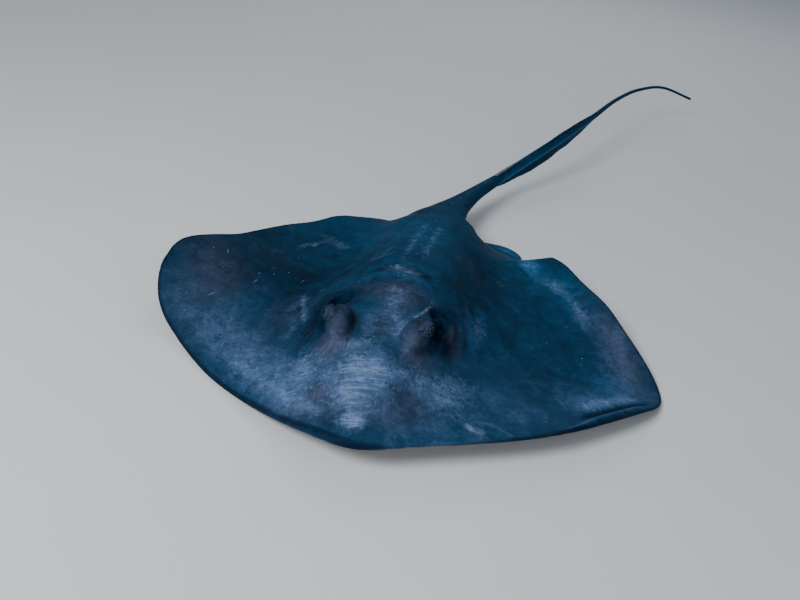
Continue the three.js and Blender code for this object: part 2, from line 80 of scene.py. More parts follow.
# By the fan line s, which is 0 at the snout, 1 at the rear end of the margin, REAR_S at the tail and
# below 0 on the right: where a line starts, how thick the fin is there, how high the margin lies,
# and how far the right tip is drawn in.
FAN_ROOT = [(0, -230), (0.3, -140), (0.51, 0), (0.78, 160), (1, 290), (REAR_S, 330)]
FIN_ROOT = [(0, 44), (0.5, 49), (1, 42), (REAR_S, 36)]
LIFT = [
    (-REAR_S, 12), (-1, 28), (-0.93, 37), (-0.89, 44), (-0.84, 42), (-0.78, 50), (-0.72, 56),
    (-0.68, 61), (-0.63, 77), (-0.58, 90), (-0.513, 84), (-0.43, 28), (-0.3, 1), (-0.15, 15),
    (0, 45), (0.15, 49), (0.3, 43), (0.43, 29), (0.513, 1), (0.58, 12), (0.64, 32), (0.7, 51),
    (0.78, 58), (0.84, 64), (0.865, 57), (0.885, 32), (0.905, 15), (0.94, 6), (1, 10),
    (REAR_S, 12),
]
RIGHT_TIP_IN = [
    (0.38, 0), (0.42, -3.4), (0.45, -2.5), (0.48, 4), (0.5, 9), (0.52, 11.5), (0.54, 7), (0.57, 0),
]
# By y: the height of the belly, the shift of the midline, and the mound of the trunk.
BELLY_LIFT = [(SNOUT_Y, 45), (-230, 16), (-130, 0), (240, 0), (330, 8)]
MIDLINE = [
    (SNOUT_Y, -14), (-300, -24), (-205, -31.5), (-100, -27), (30, -17), (240, -8), (330, 0),
]
MOUND_HEIGHT = [
    (-330, 8), (-270, 38), (-200, 66), (-100, 82), (0, 85), (120, 78), (230, 67), (320, 58),
    (400, 54),
]
MOUND_WIDTH = [(-330, 90), (-200, 132), (-80, 152), (60, 146), (200, 124), (320, 112), (400, 98)]
MOUND_SIDES = [(-300, 2.4), (0, 2.4), (350, 3.2)]
# The tail's centreline, then by the distance from its root its sizes and those of its two fins.
TAIL_LINE = [
    (0, 330, 50), (3, 405, 57), (46, 540, 60), (105, 672, 67), (175, 785, 92), (247, 905, 118),
    (327, 1085, 130), (411, 1313, 133), (494, 1487, 128), (586, 1599, 117), (692, 1638, 84),
]
TAIL_WIDTH = [
    (-75, 130), (-52, 172), (-30, 162), (-12, 138), (12, 106), (50, 78), (130, 49), (250, 32),
    (520, 25), (700, 20), (820, 15), (1180, 11), (1440, 8.5),
]
TAIL_HEIGHT = [
    (-75, 56), (-52, 73), (-30, 68), (-12, 60), (12, 50), (50, 43), (130, 35), (250, 28),
    (520, 22), (820, 14), (1180, 10), (1440, 8),
]
LOWER_FOLD = [
    (262, 1), (292, 12), (345, 21), (470, 32), (600, 28), (720, 15), (800, 4), (826, 1),
]
UPPER_KEEL = [(405, 1), (460, 5), (560, 9), (690, 9), (770, 4), (812, 1)]
PELVIC_SPANS = [
    [(36, 330), (80, 322), (130, 330), (168, 340)],
    [(168, 340), (188, 346), (200, 368), (194, 387)],
    [(194, 387), (186, 410), (160, 426), (134, 425)],
    [(134, 425), (104, 424), (60, 430), (40, 408)],
    [(40, 408), (26, 394), (28, 350), (36, 330)],
]
PELVIC_MIDDLE = (104, 372)


def profile(points, x):
    """A smooth curve through (x, value) points, with the slope at each from its neighbours."""
    at, value = np.array(points, float).T
    step = np.diff(at)
    rise = np.diff(value) / step
    inner = (rise[:-1] * step[1:] + rise[1:] * step[:-1]) / (step[:-1] + step[1:])
    slope = np.concatenate([rise[:1], inner, rise[-1:]])
    x = np.clip(x, at[0], at[-1])
    i = np.clip(np.searchsorted(at, x, side="right") - 1, 0, len(step) - 1)
    h = step[i]
    u = (x - at[i]) / h
    return (
        (2 * u**3 - 3 * u**2 + 1) * value[i]
        + (u**3 - 2 * u**2 + u) * h * slope[i]
        + (3 * u**2 - 2 * u**3) * value[i + 1]
        + (u**3 - u**2) * h * slope[i + 1]
    )


def smoothstep(start, end, x):
    u = np.clip((x - start) / (end - start), 0, 1)
    return u * u * (3 - 2 * u)


def lerp(a, b, u):
    return a + (b - a) * u


def bezier(spans, count=300):
    u = np.linspace(0, 1, count)[:, None]
    parts = []
    for a, b, c, d in np.array(spans, float):
        parts.append((1 - u)**3 * a + 3 * (1 - u)**2 * u * b + 3 * (1 - u) * u * u * c + u**3 * d)
    return np.concatenate(parts)


def lengths_along(points):
    return np.concatenate([[0], np.cumsum(np.linalg.norm(np.diff(points, axis=0), axis=1))])


def unit(rows):
    """Vectors in rows, each taken to length 1."""
    return rows / np.linalg.norm(rows, axis=1)[:, None]


def distance_to(place, points):
    return np.linalg.norm(points - place, axis=1)


def at_lengths(points, wanted):
    """The places on a polyline at the wanted distances from its start."""
    run = lengths_along(points)
    return np.stack([np.interp(wanted, run, points[:, k]) for k in range(points.shape[1])], -1)


def at_shares(points, share):
    """The places on a polyline at shares, 0 to 1, of its whole length."""
    return at_lengths(points, share * lengths_along(points)[-1])


def round_angles(count):
    return np.linspace(0, 2 * np.pi, count, endpoint=False)


MARGIN = bezier(MARGIN_SPANS)
BACK_EDGE = bezier(REAR_SPANS)


def margin_point(s):
    """The place in plan where fan line s ends."""
    front = at_shares(MARGIN, np.minimum(s, 1))
    back = at_shares(BACK_EDGE, np.clip((s - 1) / (REAR_S - 1), 0, 1))
    return np.where((s <= 1)[..., None], front, back)


def drawn_in(s):
    """How far the curled right wing tip is drawn in towards the body."""
    return np.where(s < 0, profile(RIGHT_TIP_IN, -s), 0)


def underside(s, t, y):
    """The height of the underside, from the belly's to the margin's."""
    outward = np.maximum(0, (t - BELLY_SHARE) / (1 - BELLY_SHARE))**1.7
    straight = smoothstep(0.3, 0.05, np.abs(s))
    share = lerp(outward, t, straight)
    return np.maximum(0, lerp(profile(BELLY_LIFT, y), profile(LIFT, s), share))


def mound(x, y):
    """How much the trunk adds to the fins' thickness."""
    power = profile(MOUND_SIDES, y)
    return profile(MOUND_HEIGHT, y) * np.exp(-((np.abs(x) / profile(MOUND_WIDTH, y))**power))


def disc_surface(s, t):
    """The disc's top and underside at fan line s, and t of the way out to the margin."""
    edge = margin_point(np.abs(s))
    x = np.sign(s) * (edge[..., 0] * t - drawn_in(s) * t**4)
    y = lerp(profile(FAN_ROOT, np.abs(s)), edge[..., 1], t)
    bottom = underside(s, t, y)
    full = profile(FIN_ROOT, np.abs(s)) - MARGIN_THICKNESS
    thick = MARGIN_THICKNESS + full * np.maximum(0, 1 - t**FIN_FALL)
    backward = smoothstep(0.85, 1, np.abs(s))
    top = bottom + thick + mound(x, y) * (1 - backward * t**5)
    held = t * t * smoothstep(0, 0.25, np.abs(s))
    x = x + profile(MIDLINE, y) * (1 - held)
    return np.stack([x, y, top], -1), np.stack([x, y, bottom], -1)


# ---- Meshes ----


def new_object(name, data):
    made = bpy.data.objects.new(name, data)
    bpy.context.scene.collection.objects.link(made)
    return made


def solid(name, points, faces):
    """A closed mesh from points in millimetres, with like points joined and its faces turned out."""
    mesh = bpy.data.meshes.new(name)
    mesh.from_pydata((np.asarray(points, float) * MM).tolist(), [], faces)
    bm = bmesh.new()
    bm.from_mesh(mesh)
    bmesh.ops.remove_doubles(bm, verts=bm.verts, dist=1e-6)
    bmesh.ops.recalc_face_normals(bm, faces=bm.faces)
    if bm.calc_volume(signed=True) < 0:
        bmesh.ops.reverse_faces(bm, faces=bm.faces)
    bm.to_mesh(mesh)
    bm.free()
    return new_object(name, mesh)


def fan(name, top, bottom):
    """A closed solid from two sheets of points, [line, step], whose lines run round in a ring."""
    lines, steps = top.shape[:2]
    points = np.concatenate([top.reshape(-1, 3), bottom.reshape(-1, 3)])
    faces = []
    for k in range(lines):
        a, b = k * steps, (k + 1) % lines * steps
        under = lines * steps
        for j in range(steps - 1):
            faces.append((a + j, a + j + 1, b + j + 1, b + j))
            faces.append((under + b + j, under + b + j + 1, under + a + j + 1, under + a + j))
        last = steps - 1
        faces.append((a + last, under + a + last, under + b + last, b + last))
    return solid(name, points, faces)


def loft(name, rings, closed=False):
    """A solid through rings of points. closed joins the last ring to the first."""
    rings = np.asarray(rings, float)
    count, sides = rings.shape[:2]
    faces = []
    for i in range(count if closed else count - 1):
        a, b = i * sides, (i + 1) % count * sides
        for k in range(sides):
            n = (k + 1) % sides
            faces.append((a + k, b + k, b + n, a + n))
    if not closed:
        faces.append(tuple(range(sides)))
        faces.append(tuple(reversed(range((count - 1) * sides, count * sides))))
    return solid(name, rings.reshape(-1, 3), faces)


def turned(degrees):
    """Turns about X, then Y, then Z, taken the way the solids take theirs."""
    x, y, z = (math.radians(d) for d in degrees)
    spin = Matrix.Rotation(x, 3, "X") @ Matrix.Rotation(y, 3, "Y") @ Matrix.Rotation(z, 3, "Z")
    return np.array(spin)


def ellipsoid(name, at, radii, spin=np.eye(3), detail=48):
    around = round_angles(detail)
    down = np.linspace(0, np.pi, detail // 2 + 1)[1:-1]
    ball = np.stack([
        np.sin(down)[:, None] * np.cos(around)[None],
        np.sin(down)[:, None] * np.sin(around)[None],
        np.cos(down)[:, None] * np.ones(detail)[None],
    ], -1)
    points = (ball * np.array(radii)) @ spin.T + np.array(at)
    return loft(name, points)


def evaluated(thing):
    """Applies an object's modifiers to its mesh."""
    graph = bpy.context.evaluated_depsgraph_get()
    mesh = bpy.data.meshes.new_from_object(thing.evaluated_get(graph))
    thing.modifiers.clear()
    old = thing.data
    thing.data = mesh
    bpy.data.meshes.remove(old)
    return thing


def discard(thing):
    mesh = thing.data
    bpy.data.objects.remove(thing)
    bpy.data.meshes.remove(mesh)


def combine(base, others, operation):
    for other in others:
        step = base.modifiers.new("combine", "BOOLEAN")
        step.object = other
        step.operation = operation
        step.solver = "MANIFOLD"
    evaluated(base)
    for other in others:
        discard(other)
    return base


def vectors(items, key):
    """What each of a mesh's items has under key, in rows."""
    found = np.empty(len(items) * 3, np.float32)
    items.foreach_get(key, found)
    return found.reshape(-1, 3).astype(float)


def positions(mesh):
    return vectors(mesh.vertices, "co")


def normals(mesh):
    return vectors(mesh.vertex_normals, "vector")


def place(mesh, points):
    mesh.vertices.foreach_set("co", points.astype(np.float32).ravel())
    mesh.update()


def smooth(mesh, weight, passes, push=0.0):
    """Laplacian smoothing by a weight per vertex. push above 0 swells back after each pass."""
    ends = np.empty(len(mesh.edges) * 2, np.int32)
    mesh.edges.foreach_get("vertices", ends)
    a, b = ends.reshape(-1, 2).T
    count = np.bincount(a, minlength=len(weight)) + np.bincount(b, minlength=len(weight))
    points = positions(mesh)
    for _ in range(passes):
        for amount in (0.5, -push) if push else (0.5,):
            middle = np.empty_like(points)
            for k in range(3):
                total = np.bincount(a, points[b, k], len(weight))
                total += np.bincount(b, points[a, k], len(weight))
                middle[:, k] = total / count
            points += (middle - points) * (amount * weight)[:, None]
    place(mesh, points)


# ---- The tail ----


def tail_curve(count=400):
    """The tail's centreline, a centripetal Catmull-Rom curve, as a fine polyline."""
    p = np.array(TAIL_LINE, float)
    p = np.concatenate([[2 * p[0] - p[1]], p, [2 * p[-1] - p[-2]]])
    u = np.linspace(0, 1, count, endpoint=False)[:, None]
    parts = []
    for a, b, c, d in zip(p, p[1:], p[2:], p[3:]):
        ab, bc, cd = (np.linalg.norm(v)**0.5 for v in (b - a, c - b, d - c))
        start = ((b - a) / ab - (c - a) / (ab + bc) + (c - b) / bc) * bc
        end = ((c - b) / bc - (d - b) / (bc + cd) + (d - c) / cd) * bc
        parts.append(b + start * u + (3 * (c - b) - 2 * start - end) * u**2
                     + (2 * (b - c) + start + end) * u**3)
    return np.concatenate(parts + [p[-2:-1]])


TAIL = tail_curve()
TAIL_END = lengths_along(TAIL)[-1] - TAIL_BACK


def tail_frames(distance):
    """Centres, forward, right and up directions at distances from the tail's root."""
    distance = np.atleast_1d(distance)
    centre = at_lengths(TAIL, distance + TAIL_BACK)
    ahead = np.minimum(distance + TAIL_STEP, TAIL_END) + TAIL_BACK
    behind = np.minimum(distance - TAIL_STEP, TAIL_END - 2 * TAIL_STEP) + TAIL_BACK
    forward = unit(at_lengths(TAIL, ahead) - at_lengths(TAIL, behind))
    right = unit(np.cross(forward, (0, 0, 1)))
    return centre, forward, right, np.cross(right, forward)


def beside_tail(distance, across, upward):
    """Rings of points round the tail: [place, point], from offsets to the right and upwards."""
    centre, _, right, up = tail_frames(distance)
    return (centre[:, None] + across[..., None] * right[:, None] + upward[..., None] * up[:, None])


def make_tail(name, sides=40, step=4):
    rings = np.arange(-TAIL_BACK, TAIL_END - TAIL_TIP - 1, step)
    distance = np.concatenate([rings, TAIL_END - np.array(TIP_RINGS)])
    from_tip = np.minimum(1, (TAIL_END - distance) / TAIL_TIP)
    ending = np.sqrt(np.clip(1 - (1 - from_tip)**2, 0.03, 1))
    angle = round_angles(sides)
    across = (profile(TAIL_WIDTH, distance) / 2 * ending)[:, None] * np.cos(angle)
    upward = (profile(TAIL_HEIGHT, distance) / 2 * ending)[:, None] * np.sin(angle)
    return loft(name, beside_tail(distance, across, upward))


def make_tail_fin(name, heights, direction, thickness, ruffle):
    """The skin fold under the tail or the keel on it: thin, rounded at its free edge, and a
    little wavy."""
    distance = np.linspace(heights[0][0], heights[-1][0], 150)
    size = profile(TAIL_HEIGHT, distance)
    depth = np.maximum(profile(heights, distance), 0.4)
    share = np.array([0, 0.3, 0.6, 0.85, 1, 0.85, 0.6, 0.3, 0])
    side = np.array([1, 0.85, 0.7, 0.6, 0, -0.6, -0.7, -0.85, -1])
    inner = 0.25 * size
    outer = 0.5 * size + depth
    upward = direction * (inner[:, None] + (outer - inner)[:, None] * share)
    wave = ruffle * np.sin(distance / 21) * np.sin(distance / 57 + 1) * depth / depth.max()
    across = side * thickness + wave[:, None] * share**2
    return loft(name, beside_tail(distance, across, upward))


# ---- The head's forms. side is 1 on the animal's left and -1 on its right ----

# For the left eye: where it looks, and roughly which way is up in its face.
GAZE = (0.83, -0.38, 0.41)
FACE_UP = (-0.15, -0.1, 1.0)


def head_place(side, x, y, z):
    """A place on the head, where the midline is shifted and the head is rolled."""
    return np.array([side * x + float(profile(MIDLINE, y)), y, z + side * x * HEAD_ROLL])


def by_eye(side, out, back, z):
    """A place on the head by how far out and back it is from the eye, and its height."""
    return head_place(side, EYE[0] + out, EYE[1] + back, z)


# The knob that holds the eye, the low rim round the spiracle and the saddle behind the knob, then
# the spiracle's hollows: how far out and back from the eye and how high, the half sizes, and the
# turns about Y and Z in degrees.
KNOB = ((-16, 6, 116), (25, 44, 33), (0, -12))
RIM = ((11, 60, 86), (32, 66, 24), (0, -8))
SADDLE = ((-15, 36, 99), (25, 46, 27), (0, -12))
HOLLOWS = [
    ((12, 100, 118), (23, 20, 46), (0, 0)),
    ((17, 64, 118), (14, 40, 48), (14, -6)),
    ((21, 14, 122), (11, 32, 30), (10, 0)),
]
# Where the knob runs into the head: a place like those above, and how far from it.
KNOB_FEET = [((-42, -4, 96), 26), ((-16, -42, 96), 24), ((-30, 44, 110), 30), ((-14, 78, 108), 24)]
LID_RADII = (10.6, 8.4)  # the half width and half height of the opening between the lids
LID_REACH = 10.2  # from the eye's centre to the plane of the opening
SOCKET_RADII = (15.2, 14.6, 14.4)
BROW_PLACE = (-1, 9, 2.5)  # from the eye's centre, forward, up and along its gaze
BROW_RADII = (15, 5.5, 9.5)


def head_form(name, side, form):
    """An ellipsoid from a row like those above."""
    place, radii, (tilt, yaw) = form
    return ellipsoid(name, by_eye(side, *place), radii, turned((0, side * tilt, side * yaw)))


def eye_frame(side):
    """An eye's centre, and its directions as the columns: forward, up and along its gaze."""
    gaze = np.array(GAZE) * (side, 1, 1)
    gaze /= np.linalg.norm(gaze)
    up = np.array(FACE_UP) * (side, 1, 1)
    up -= gaze * (up @ gaze)
    up /= np.linalg.norm(up)
    return head_place(side, *EYE), np.stack([np.cross(up, gaze) * side, up, gaze], 1)


def lid_ring(name, side):
    """The free edges of the lids: a heavy upper one and a thin lower one."""
    centre, axes = eye_frame(side)
    angle = round_angles(72)
    upper = (np.sin(angle) * 0.5 + 0.5)**1.5
    tube = lerp(1.1, 2.1, upper)
    out = np.stack([np.cos(angle), np.sin(angle), 0 * angle], -1)
    ring = out * (LID_RADII[0] + 0.5, LID_RADII[1] + 0.5, 0)
    ring[:, 2] = lerp(LID_REACH - 0.9, LID_REACH + 0.7, upper)
    around = round_angles(16)
    rings = ring[:, None] + tube[:, None, None] * (
        np.cos(around)[None, :, None] * out[:, None]
        + np.sin(around)[None, :, None] * np.array([0, 0, 1]))
    return loft(name, centre + rings @ axes.T, closed=True)


def head_forms(side):
    """The knob, the rim, the saddle, and the flesh over the eyeball with a brow above it."""
    centre, axes = eye_frame(side)
    brow = centre + axes @ BROW_PLACE
    return [
        head_form("knob", side, KNOB),
        head_form("rim", side, RIM),
        head_form("saddle", side, SADDLE),
        ellipsoid("socket", centre, SOCKET_RADII, axes),
        ellipsoid("brow", brow, BROW_RADII, axes),
    ]


def head_hollows(side):
    """The spiracle, and the opening through which the eye shows."""
    centre, axes = eye_frame(side)
    opening = ellipsoid("opening", centre + axes @ (0, 0, 13), (*LID_RADII, 12), axes)
    return [head_form("hollow", side, hollow) for hollow in HOLLOWS] + [opening]


def head_details(side):
    """What stands in the openings: the lids' edges and the valve inside the spiracle."""
    valve = ((6, 92, 84), (4, 17, 22), (-18, -30))
    return [lid_ring("lids", side), head_form("valve", side, valve)]


# ---- The skin ----


def ring_of_lines(front, back):
    """The fan lines all round the disc: front of them to s = 1 on each side, and back behind it."""
    left = np.concatenate([np.linspace(0, 1, front), np.linspace(1, REAR_S, back)[1:]])
    return np.concatenate([left, -left[1:-1][::-1]])


def make_disc(name):
    """The disc, with its margin rounded over."""
    s = ring_of_lines(200, 24)
    edge = margin_point(np.abs(s))
    reach = np.hypot(edge[:, 0], edge[:, 1] - profile(FAN_ROOT, np.abs(s)))
    end = 1 - MARGIN_THICKNESS / 2 / reach
    t = (1 - (1 - np.linspace(0, 1, 70))**1.3) * end[:, None]
    top, bottom = disc_surface(s[:, None] + 0 * t, t)
    out = (top[:, -1] - top[:, -2]) * (1, 1, 0)
    out *= MARGIN_THICKNESS / 2 / np.linalg.norm(out, axis=1)[:, None]
    middle = (top[:, -1] + bottom[:, -1]) / 2
    half = (top[:, -1] - bottom[:, -1]) / 2
    for angle in MARGIN_ANGLES:
        beyond = middle + out * math.sin(angle)
        top = np.concatenate([top, (beyond + half * math.cos(angle))[:, None]], 1)
        bottom = np.concatenate([bottom, (beyond - half * math.cos(angle))[:, None]], 1)
    return fan(name, top, bottom)


def margin_gap(x, y, reach=70):
    """Each place's distance in plan from the disc's margin, up to reach."""
    s = ring_of_lines(320, 30)
    edge = margin_point(np.abs(s))
    edge[:, 0] = np.sign(s) * (edge[:, 0] - drawn_in(s))
    gap = np.full(len(x), float(reach))
    for start in range(0, len(x), CHUNK):
        part = slice(start, start + CHUNK)
        square = (x[part, None] - edge[:, 0])**2 + (y[part, None] - edge[:, 1])**2
        gap[part] = np.minimum(reach, np.sqrt(square.min(1)))
    return gap


def make_pelvic_fin(name, side):
    """A broad flap, thinner towards its edge and raised a little at its root."""
    edge = at_shares(bezier(PELVIC_SPANS), np.linspace(0, 1, 120, endpoint=False))
    t = np.linspace(0, 1, 24)
    x = lerp(PELVIC_MIDDLE[0], edge[:, :1], t)
    y = lerp(PELVIC_MIDDLE[1], edge[:, 1:], t)
    floor = 3 + 9 * smoothstep(90, 40, x)
    deep = lerp(13, 4, t * t) + 0 * x
    low = np.stack([side * x, y, floor], -1)
    high = np.stack([side * x, y, floor + deep], -1)
    return fan(name, high, low)


def make_whole(name):
    """All the flesh as one closed solid, before it is made into a skin."""
    base = make_disc(name)
    forms = [
        make_tail("tail"),
        make_tail_fin("lower", LOWER_FOLD, -1, 2.6, 2.2),
        make_tail_fin("upper", UPPER_KEEL, 1, 2.2, 1.0),
        make_pelvic_fin("pelvic", 1),
        make_pelvic_fin("pelvic", -1),
    ]
    for side in (1, -1):
        forms += head_forms(side)
    combine(base, forms, "UNION")
    combine(base, head_hollows(1) + head_hollows(-1), "DIFFERENCE")
    combine(base, head_details(1) + head_details(-1), "UNION")
    return base


# ---- Relief ----


def smooth_line(points, count=80):
    """A smooth curve through points in plan, as a fine polyline."""
    u = np.linspace(0, len(points) - 1, count)
    return np.stack([profile(list(enumerate(v)), u) for v in zip(*points)], -1)


def nearness(x, y, points, width):
    """1 on a smooth line in plan, falling to 0 beside it and towards its two ends."""
    line = smooth_line(points)
    low, high = line.min(0) - 3 * width, line.max(0) + 3 * width
    inside = (x > low[0]) & (x < high[0]) & (y > low[1]) & (y < high[1])
    found = np.zeros_like(x)
    gap = (x[inside, None] - line[:, 0])**2 + (y[inside, None] - line[:, 1])**2
    along = gap.argmin(1) / (len(line) - 1)
    ends = smoothstep(0, 0.2, along) * smoothstep(1, 0.8, along)
    found[inside] = np.exp(-gap.min(1) / width**2) * ends
    return found


def patch(x, y, at_x, at_y, length, width, turn=0.0):
    """1 at a place in plan, falling as a bell to the sides. turn is in degrees."""
    a = math.radians(turn)
    u = (x - at_x) * math.cos(a) + (y - at_y) * math.sin(a)
    v = (y - at_y) * math.cos(a) - (x - at_x) * math.sin(a)
    return np.exp(-(u / length)**2 - (v / width)**2)


def mirrored(points):
    """A line on the head or trunk, carried over to the animal's right."""
    return [(2 * float(profile(MIDLINE, y)) - x, y) for x, y in points]


# Folds and hollows of the back: height, half width and line in plan.
BOTH_SIDES = [
    (-3.0, 13, [(158, -150), (140, -60), (118, 10), (84, 70), (70, 130)]),
    (2.2, 15, [(128, -120), (112, -40), (90, 20)]),
    (2.0, 13, [(48, -235), (30, -265), (6, -300), (-4, -340)]),
    (-1.6, 9, [(66, -248), (50, -272), (34, -300)]),
    (-1.8, 14, [(58, 120), (54, 210), (50, 300), (44, 360)]),
]
MIDDLE_GROOVE = (-1.6, 8, [(-27, -70), (-20, 20), (-13, 140), (-6, 260), (0, 340), (1, 385)])
# The front edge of the left wing: a thin raised lip that leaves the margin, with a trough behind it.
LIP = [
    (250, -284), (273, -265), (295, -247), (321, -222), (346, -194), (373, -166), (396, -144),
    (418, -123), (443, -100), (462, -82),
]
TROUGH = [
    (300, -222), (333, -188), (354, -170), (373, -154), (395, -134), (417, -112), (445, -84),
    (464, -64),
]
ONE_SIDE = [
    (3.4, 4.5, LIP),
    (-5.0, 8, TROUGH),
    (3.6, 6, [(146, -278), (160, -282), (184, -279), (207, -287), (224, -294), (240, -302)]),
    (-3.0, 7, [(146, -296), (176, -299), (208, -303), (226, -309)]),
    (1.2, 3, [(182, 262), (200, 250), (214, 232)]),
    (1.2, 3, [(190, 270), (212, 256), (226, 240)]),
    (-1.2, 3, [(186, 266), (206, 253), (220, 236)]),
    (2.2, 20, [(-60, 150), (-110, 215), (-165, 262), (-205, 300)]),
    (-2.2, 20, [(-90, 120), (-150, 180), (-215, 235), (-250, 270)]),
    (2.0, 12, [(-105, -30), (-70, -12), (-28, -6), (20, -12), (52, -34)]),
    (-1.5, 9, [(-96, -14), (-60, 6), (-26, 12), (14, 6), (44, -10)]),
    (1.6, 5, [(30, -176), (38, -150), (46, -118), (52, -92)]),
]
# Low swellings of the head: height, x and y, half length and half width.
SWELLINGS = [
    (-4.0, -28, -168, 26, 40), (-2.0, -26, -258, 24, 30), (2.2, -62, -232, 24, 16),
    (1.8, -98, -236, 22, 16), (2.0, 26, -232, 20, 18), (1.6, -28, -214, 20, 14),
    (1.6, -58, -118, 18, 26), (1.6, 2, -112, 18, 26), (1.5, -30, -330, 26, 22),
]


def relief(x, y):
    """How far the back stands out from its plain form, in millimetres."""
    raised = np.zeros_like(x)
    for height, width, line in BOTH_SIDES:
        raised += height * nearness(x, y, line, width)
        raised += height * nearness(x, y, mirrored(line), width)
    for height, width, line in [MIDDLE_GROOVE] + ONE_SIDE:
        raised += height * nearness(x, y, line, width)
    for height, *where in SWELLINGS:
        raised += height * patch(x, y, *where)
    slow = np.sin(x / 47 + 0.6) * np.sin(y / 61) + 0.6 * np.sin(x / 23 - y / 39 + 2)
    raised += 0.6 * slow * smoothstep(90, 220, np.abs(x))
    # Wrinkles across the snout.
    across = np.sin(y / 1.9 + 1.6 * np.sin(x / 17) + 0.9 * np.sin(x / 7.3 + y / 11))
    raised += 0.22 * across * patch(x, y, -24, -285, 60, 38)
    return raised


MOUTH_LINE = [(-46, -216), (-26, -224), (0, -227), (26, -224), (46, -216)]
VENT = [(0, 340), (0, 352), (0, 368)]
NOSTRIL = (40, -258, 10, 5.5, 35)  # how far out and ahead, half length and half width, turn


def gill_slits():
    """Five short lines on each side, closer together towards the rear."""
    for side in (1, -1):
        for u in np.linspace(0, 1, 5):
            x, y, half = side * lerp(92, 66, u), lerp(-138, -18, u), 14 - 2 * u
            yield [(x - half, y + side * 5), (x, y - 3), (x + half, y - side * 5)]


def nostrils(x, y):
    """1 in the nostrils."""
    out, ahead, length, width, turn = NOSTRIL
    return sum(patch(x, y, side * out, ahead, length, width, side * turn) for side in (1, -1))


def belly_relief(x, y):
    """How far the underside stands out: lips, nostrils and curtain, gill slits and vent."""
    x = x - profile(MIDLINE, y)
    raised = -9.0 * nearness(x, y, MOUTH_LINE, 4)
    raised += 3.4 * nearness(x, y, [(u, v + 10) for u, v in MOUTH_LINE], 5)
    raised += 2.6 * nearness(x, y, [(u * 0.8, v - 9) for u, v in MOUTH_LINE], 5)
    raised -= 4.0 * nearness(x, y, VENT, 3) + 8.0 * nostrils(x, y)
    for side in (1, -1):
        raised -= 3.0 * nearness(x, y, [(side * 36, -252), (side * 30, -240), (side * 24, -233)], 3)
    for slit in gill_slits():
        raised -= 5.0 * nearness(x, y, slit, 3.2)
        raised += 1.6 * nearness(x, y, [(u, v + 6) for u, v in slit], 4)
    return raised


def slits(x, y):
    """1 in the mouth, nostrils, gill slits and vent."""
    x = x - profile(MIDLINE, y)
    lines = [nearness(x, y, line, 3) for line in (MOUTH_LINE, VENT, *gill_slits())]
    return np.max(lines + [nostrils(x, y)], 0)


# ---- From the solid to the skin ----

VOXEL = 2.1
KEPT_BY_EYE = (15.5, 20)  # how far from an eye's centre the forms stay sharp: behind, in front
HEAD_PASSES = 26  # passes of smoothing, also the next two
FEET_PASSES = 110
ROOT_PASSES = 90
HEAD_MIDDLE = (-28, -180)
HEAD_SIZE = (150, 130)  # half the width and length of the part with finer faces
THORN_HEIGHT = 2.3
THORN_WIDTH = 4.2
THORN_LEAN = 0.15  # how far back the tip lies, as a share of the height
THORNS_ON_BACK = np.arange(-60, 341, 50.0)
THORNS_ON_TAIL = np.arange(40, 230, 45.0)


def thorn_places():
    """The row of small thorns along the middle of the back and down the tail to the sting."""
    y = THORNS_ON_BACK
    z = profile(BELLY_LIFT, y) + profile(FIN_ROOT, 0.6) + profile(MOUND_HEIGHT, y)
    back = np.stack([profile(MIDLINE, y), y, z], -1)
    height = profile(TAIL_HEIGHT, THORNS_ON_TAIL)[:, None] / 2
    return np.concatenate([back, beside_tail(THORNS_ON_TAIL, 0 * height, height)[:, 0]])


def near_thorns(points):
    """Each point's distance in plan from the nearest thorn at its height, up to 99."""
    found = np.full(len(points), 99.0)
    for thorn in thorn_places():
        gap = distance_to(thorn[:2], points[:, :2])
        found = np.where(np.abs(points[:, 2] - thorn[2]) < 16, np.minimum(found, gap), found)
    return found


def refine(thing, chosen):
    """Halves the faces whose middles chosen(points in millimetres) picks."""
    bm = bmesh.new()
    bm.from_mesh(thing.data)
    middles = np.array([f.calc_center_median() for f in bm.faces]) / MM
    bm.faces.ensure_lookup_table()
    edges = {e for i in np.flatnonzero(chosen(middles)) for e in bm.faces[i].edges}
    bmesh.ops.subdivide_edges(bm, edges=list(edges), cuts=1, use_grid_fill=True)
    bm.to_mesh(thing.data)
    bm.free()


def from_eyes(points):
    """The distance of each point from the nearer eye's centre."""
    return np.min([distance_to(head_place(side, *EYE), points) for side in (1, -1)], 0)


def facing_eyes(points):
    """1 in front of the eyeballs, where they look out, and 0 behind them."""
    found = []
    for side in (1, -1):
        centre, axes = eye_frame(side)
        along = (points - centre) @ axes[:, 2]
        near = smoothstep(40, 34, distance_to(centre, points))
        found.append(smoothstep(1, 7, along) * near)
    return np.max(found, 0)


def beside_knobs(points):
    """1 at the inner, front and rear feet of the knobs, where they run into the head."""
    found = []
    for side in (1, -1):
        for place, reach in KNOB_FEET:
            gap = distance_to(by_eye(side, *place), points)
            found.append(np.exp(-(gap / reach)**2))
    return np.max(found, 0)


def lid_folds(points):
    """The creases round the lids, in millimetres out of the surface."""
    raised = np.zeros(len(points))
    for side in (1, -1):
        centre, axes = eye_frame(side)
        ahead, up, along = ((points - centre) @ axes).T
        ring = np.hypot(ahead / LID_RADII[0], up / LID_RADII[1])
        front = smoothstep(-4, 5, along) * smoothstep(34, 26, np.hypot(ahead, up))
        above = smoothstep(-0.3, 0.4, up / np.maximum(ring * LID_RADII[1], 1))
        raised -= 0.9 * front * above * np.exp(-((ring - 1.55) / 0.11)**2)
        raised += 0.5 * front * above * np.exp(-((ring - 1.8) / 0.16)**2)
        raised -= 0.5 * front * np.exp(-((ring - 2.15) / 0.12)**2)
        raised -= 0.4 * front * (1 - above) * np.exp(-((ring - 1.6) / 0.12)**2)
    return raised


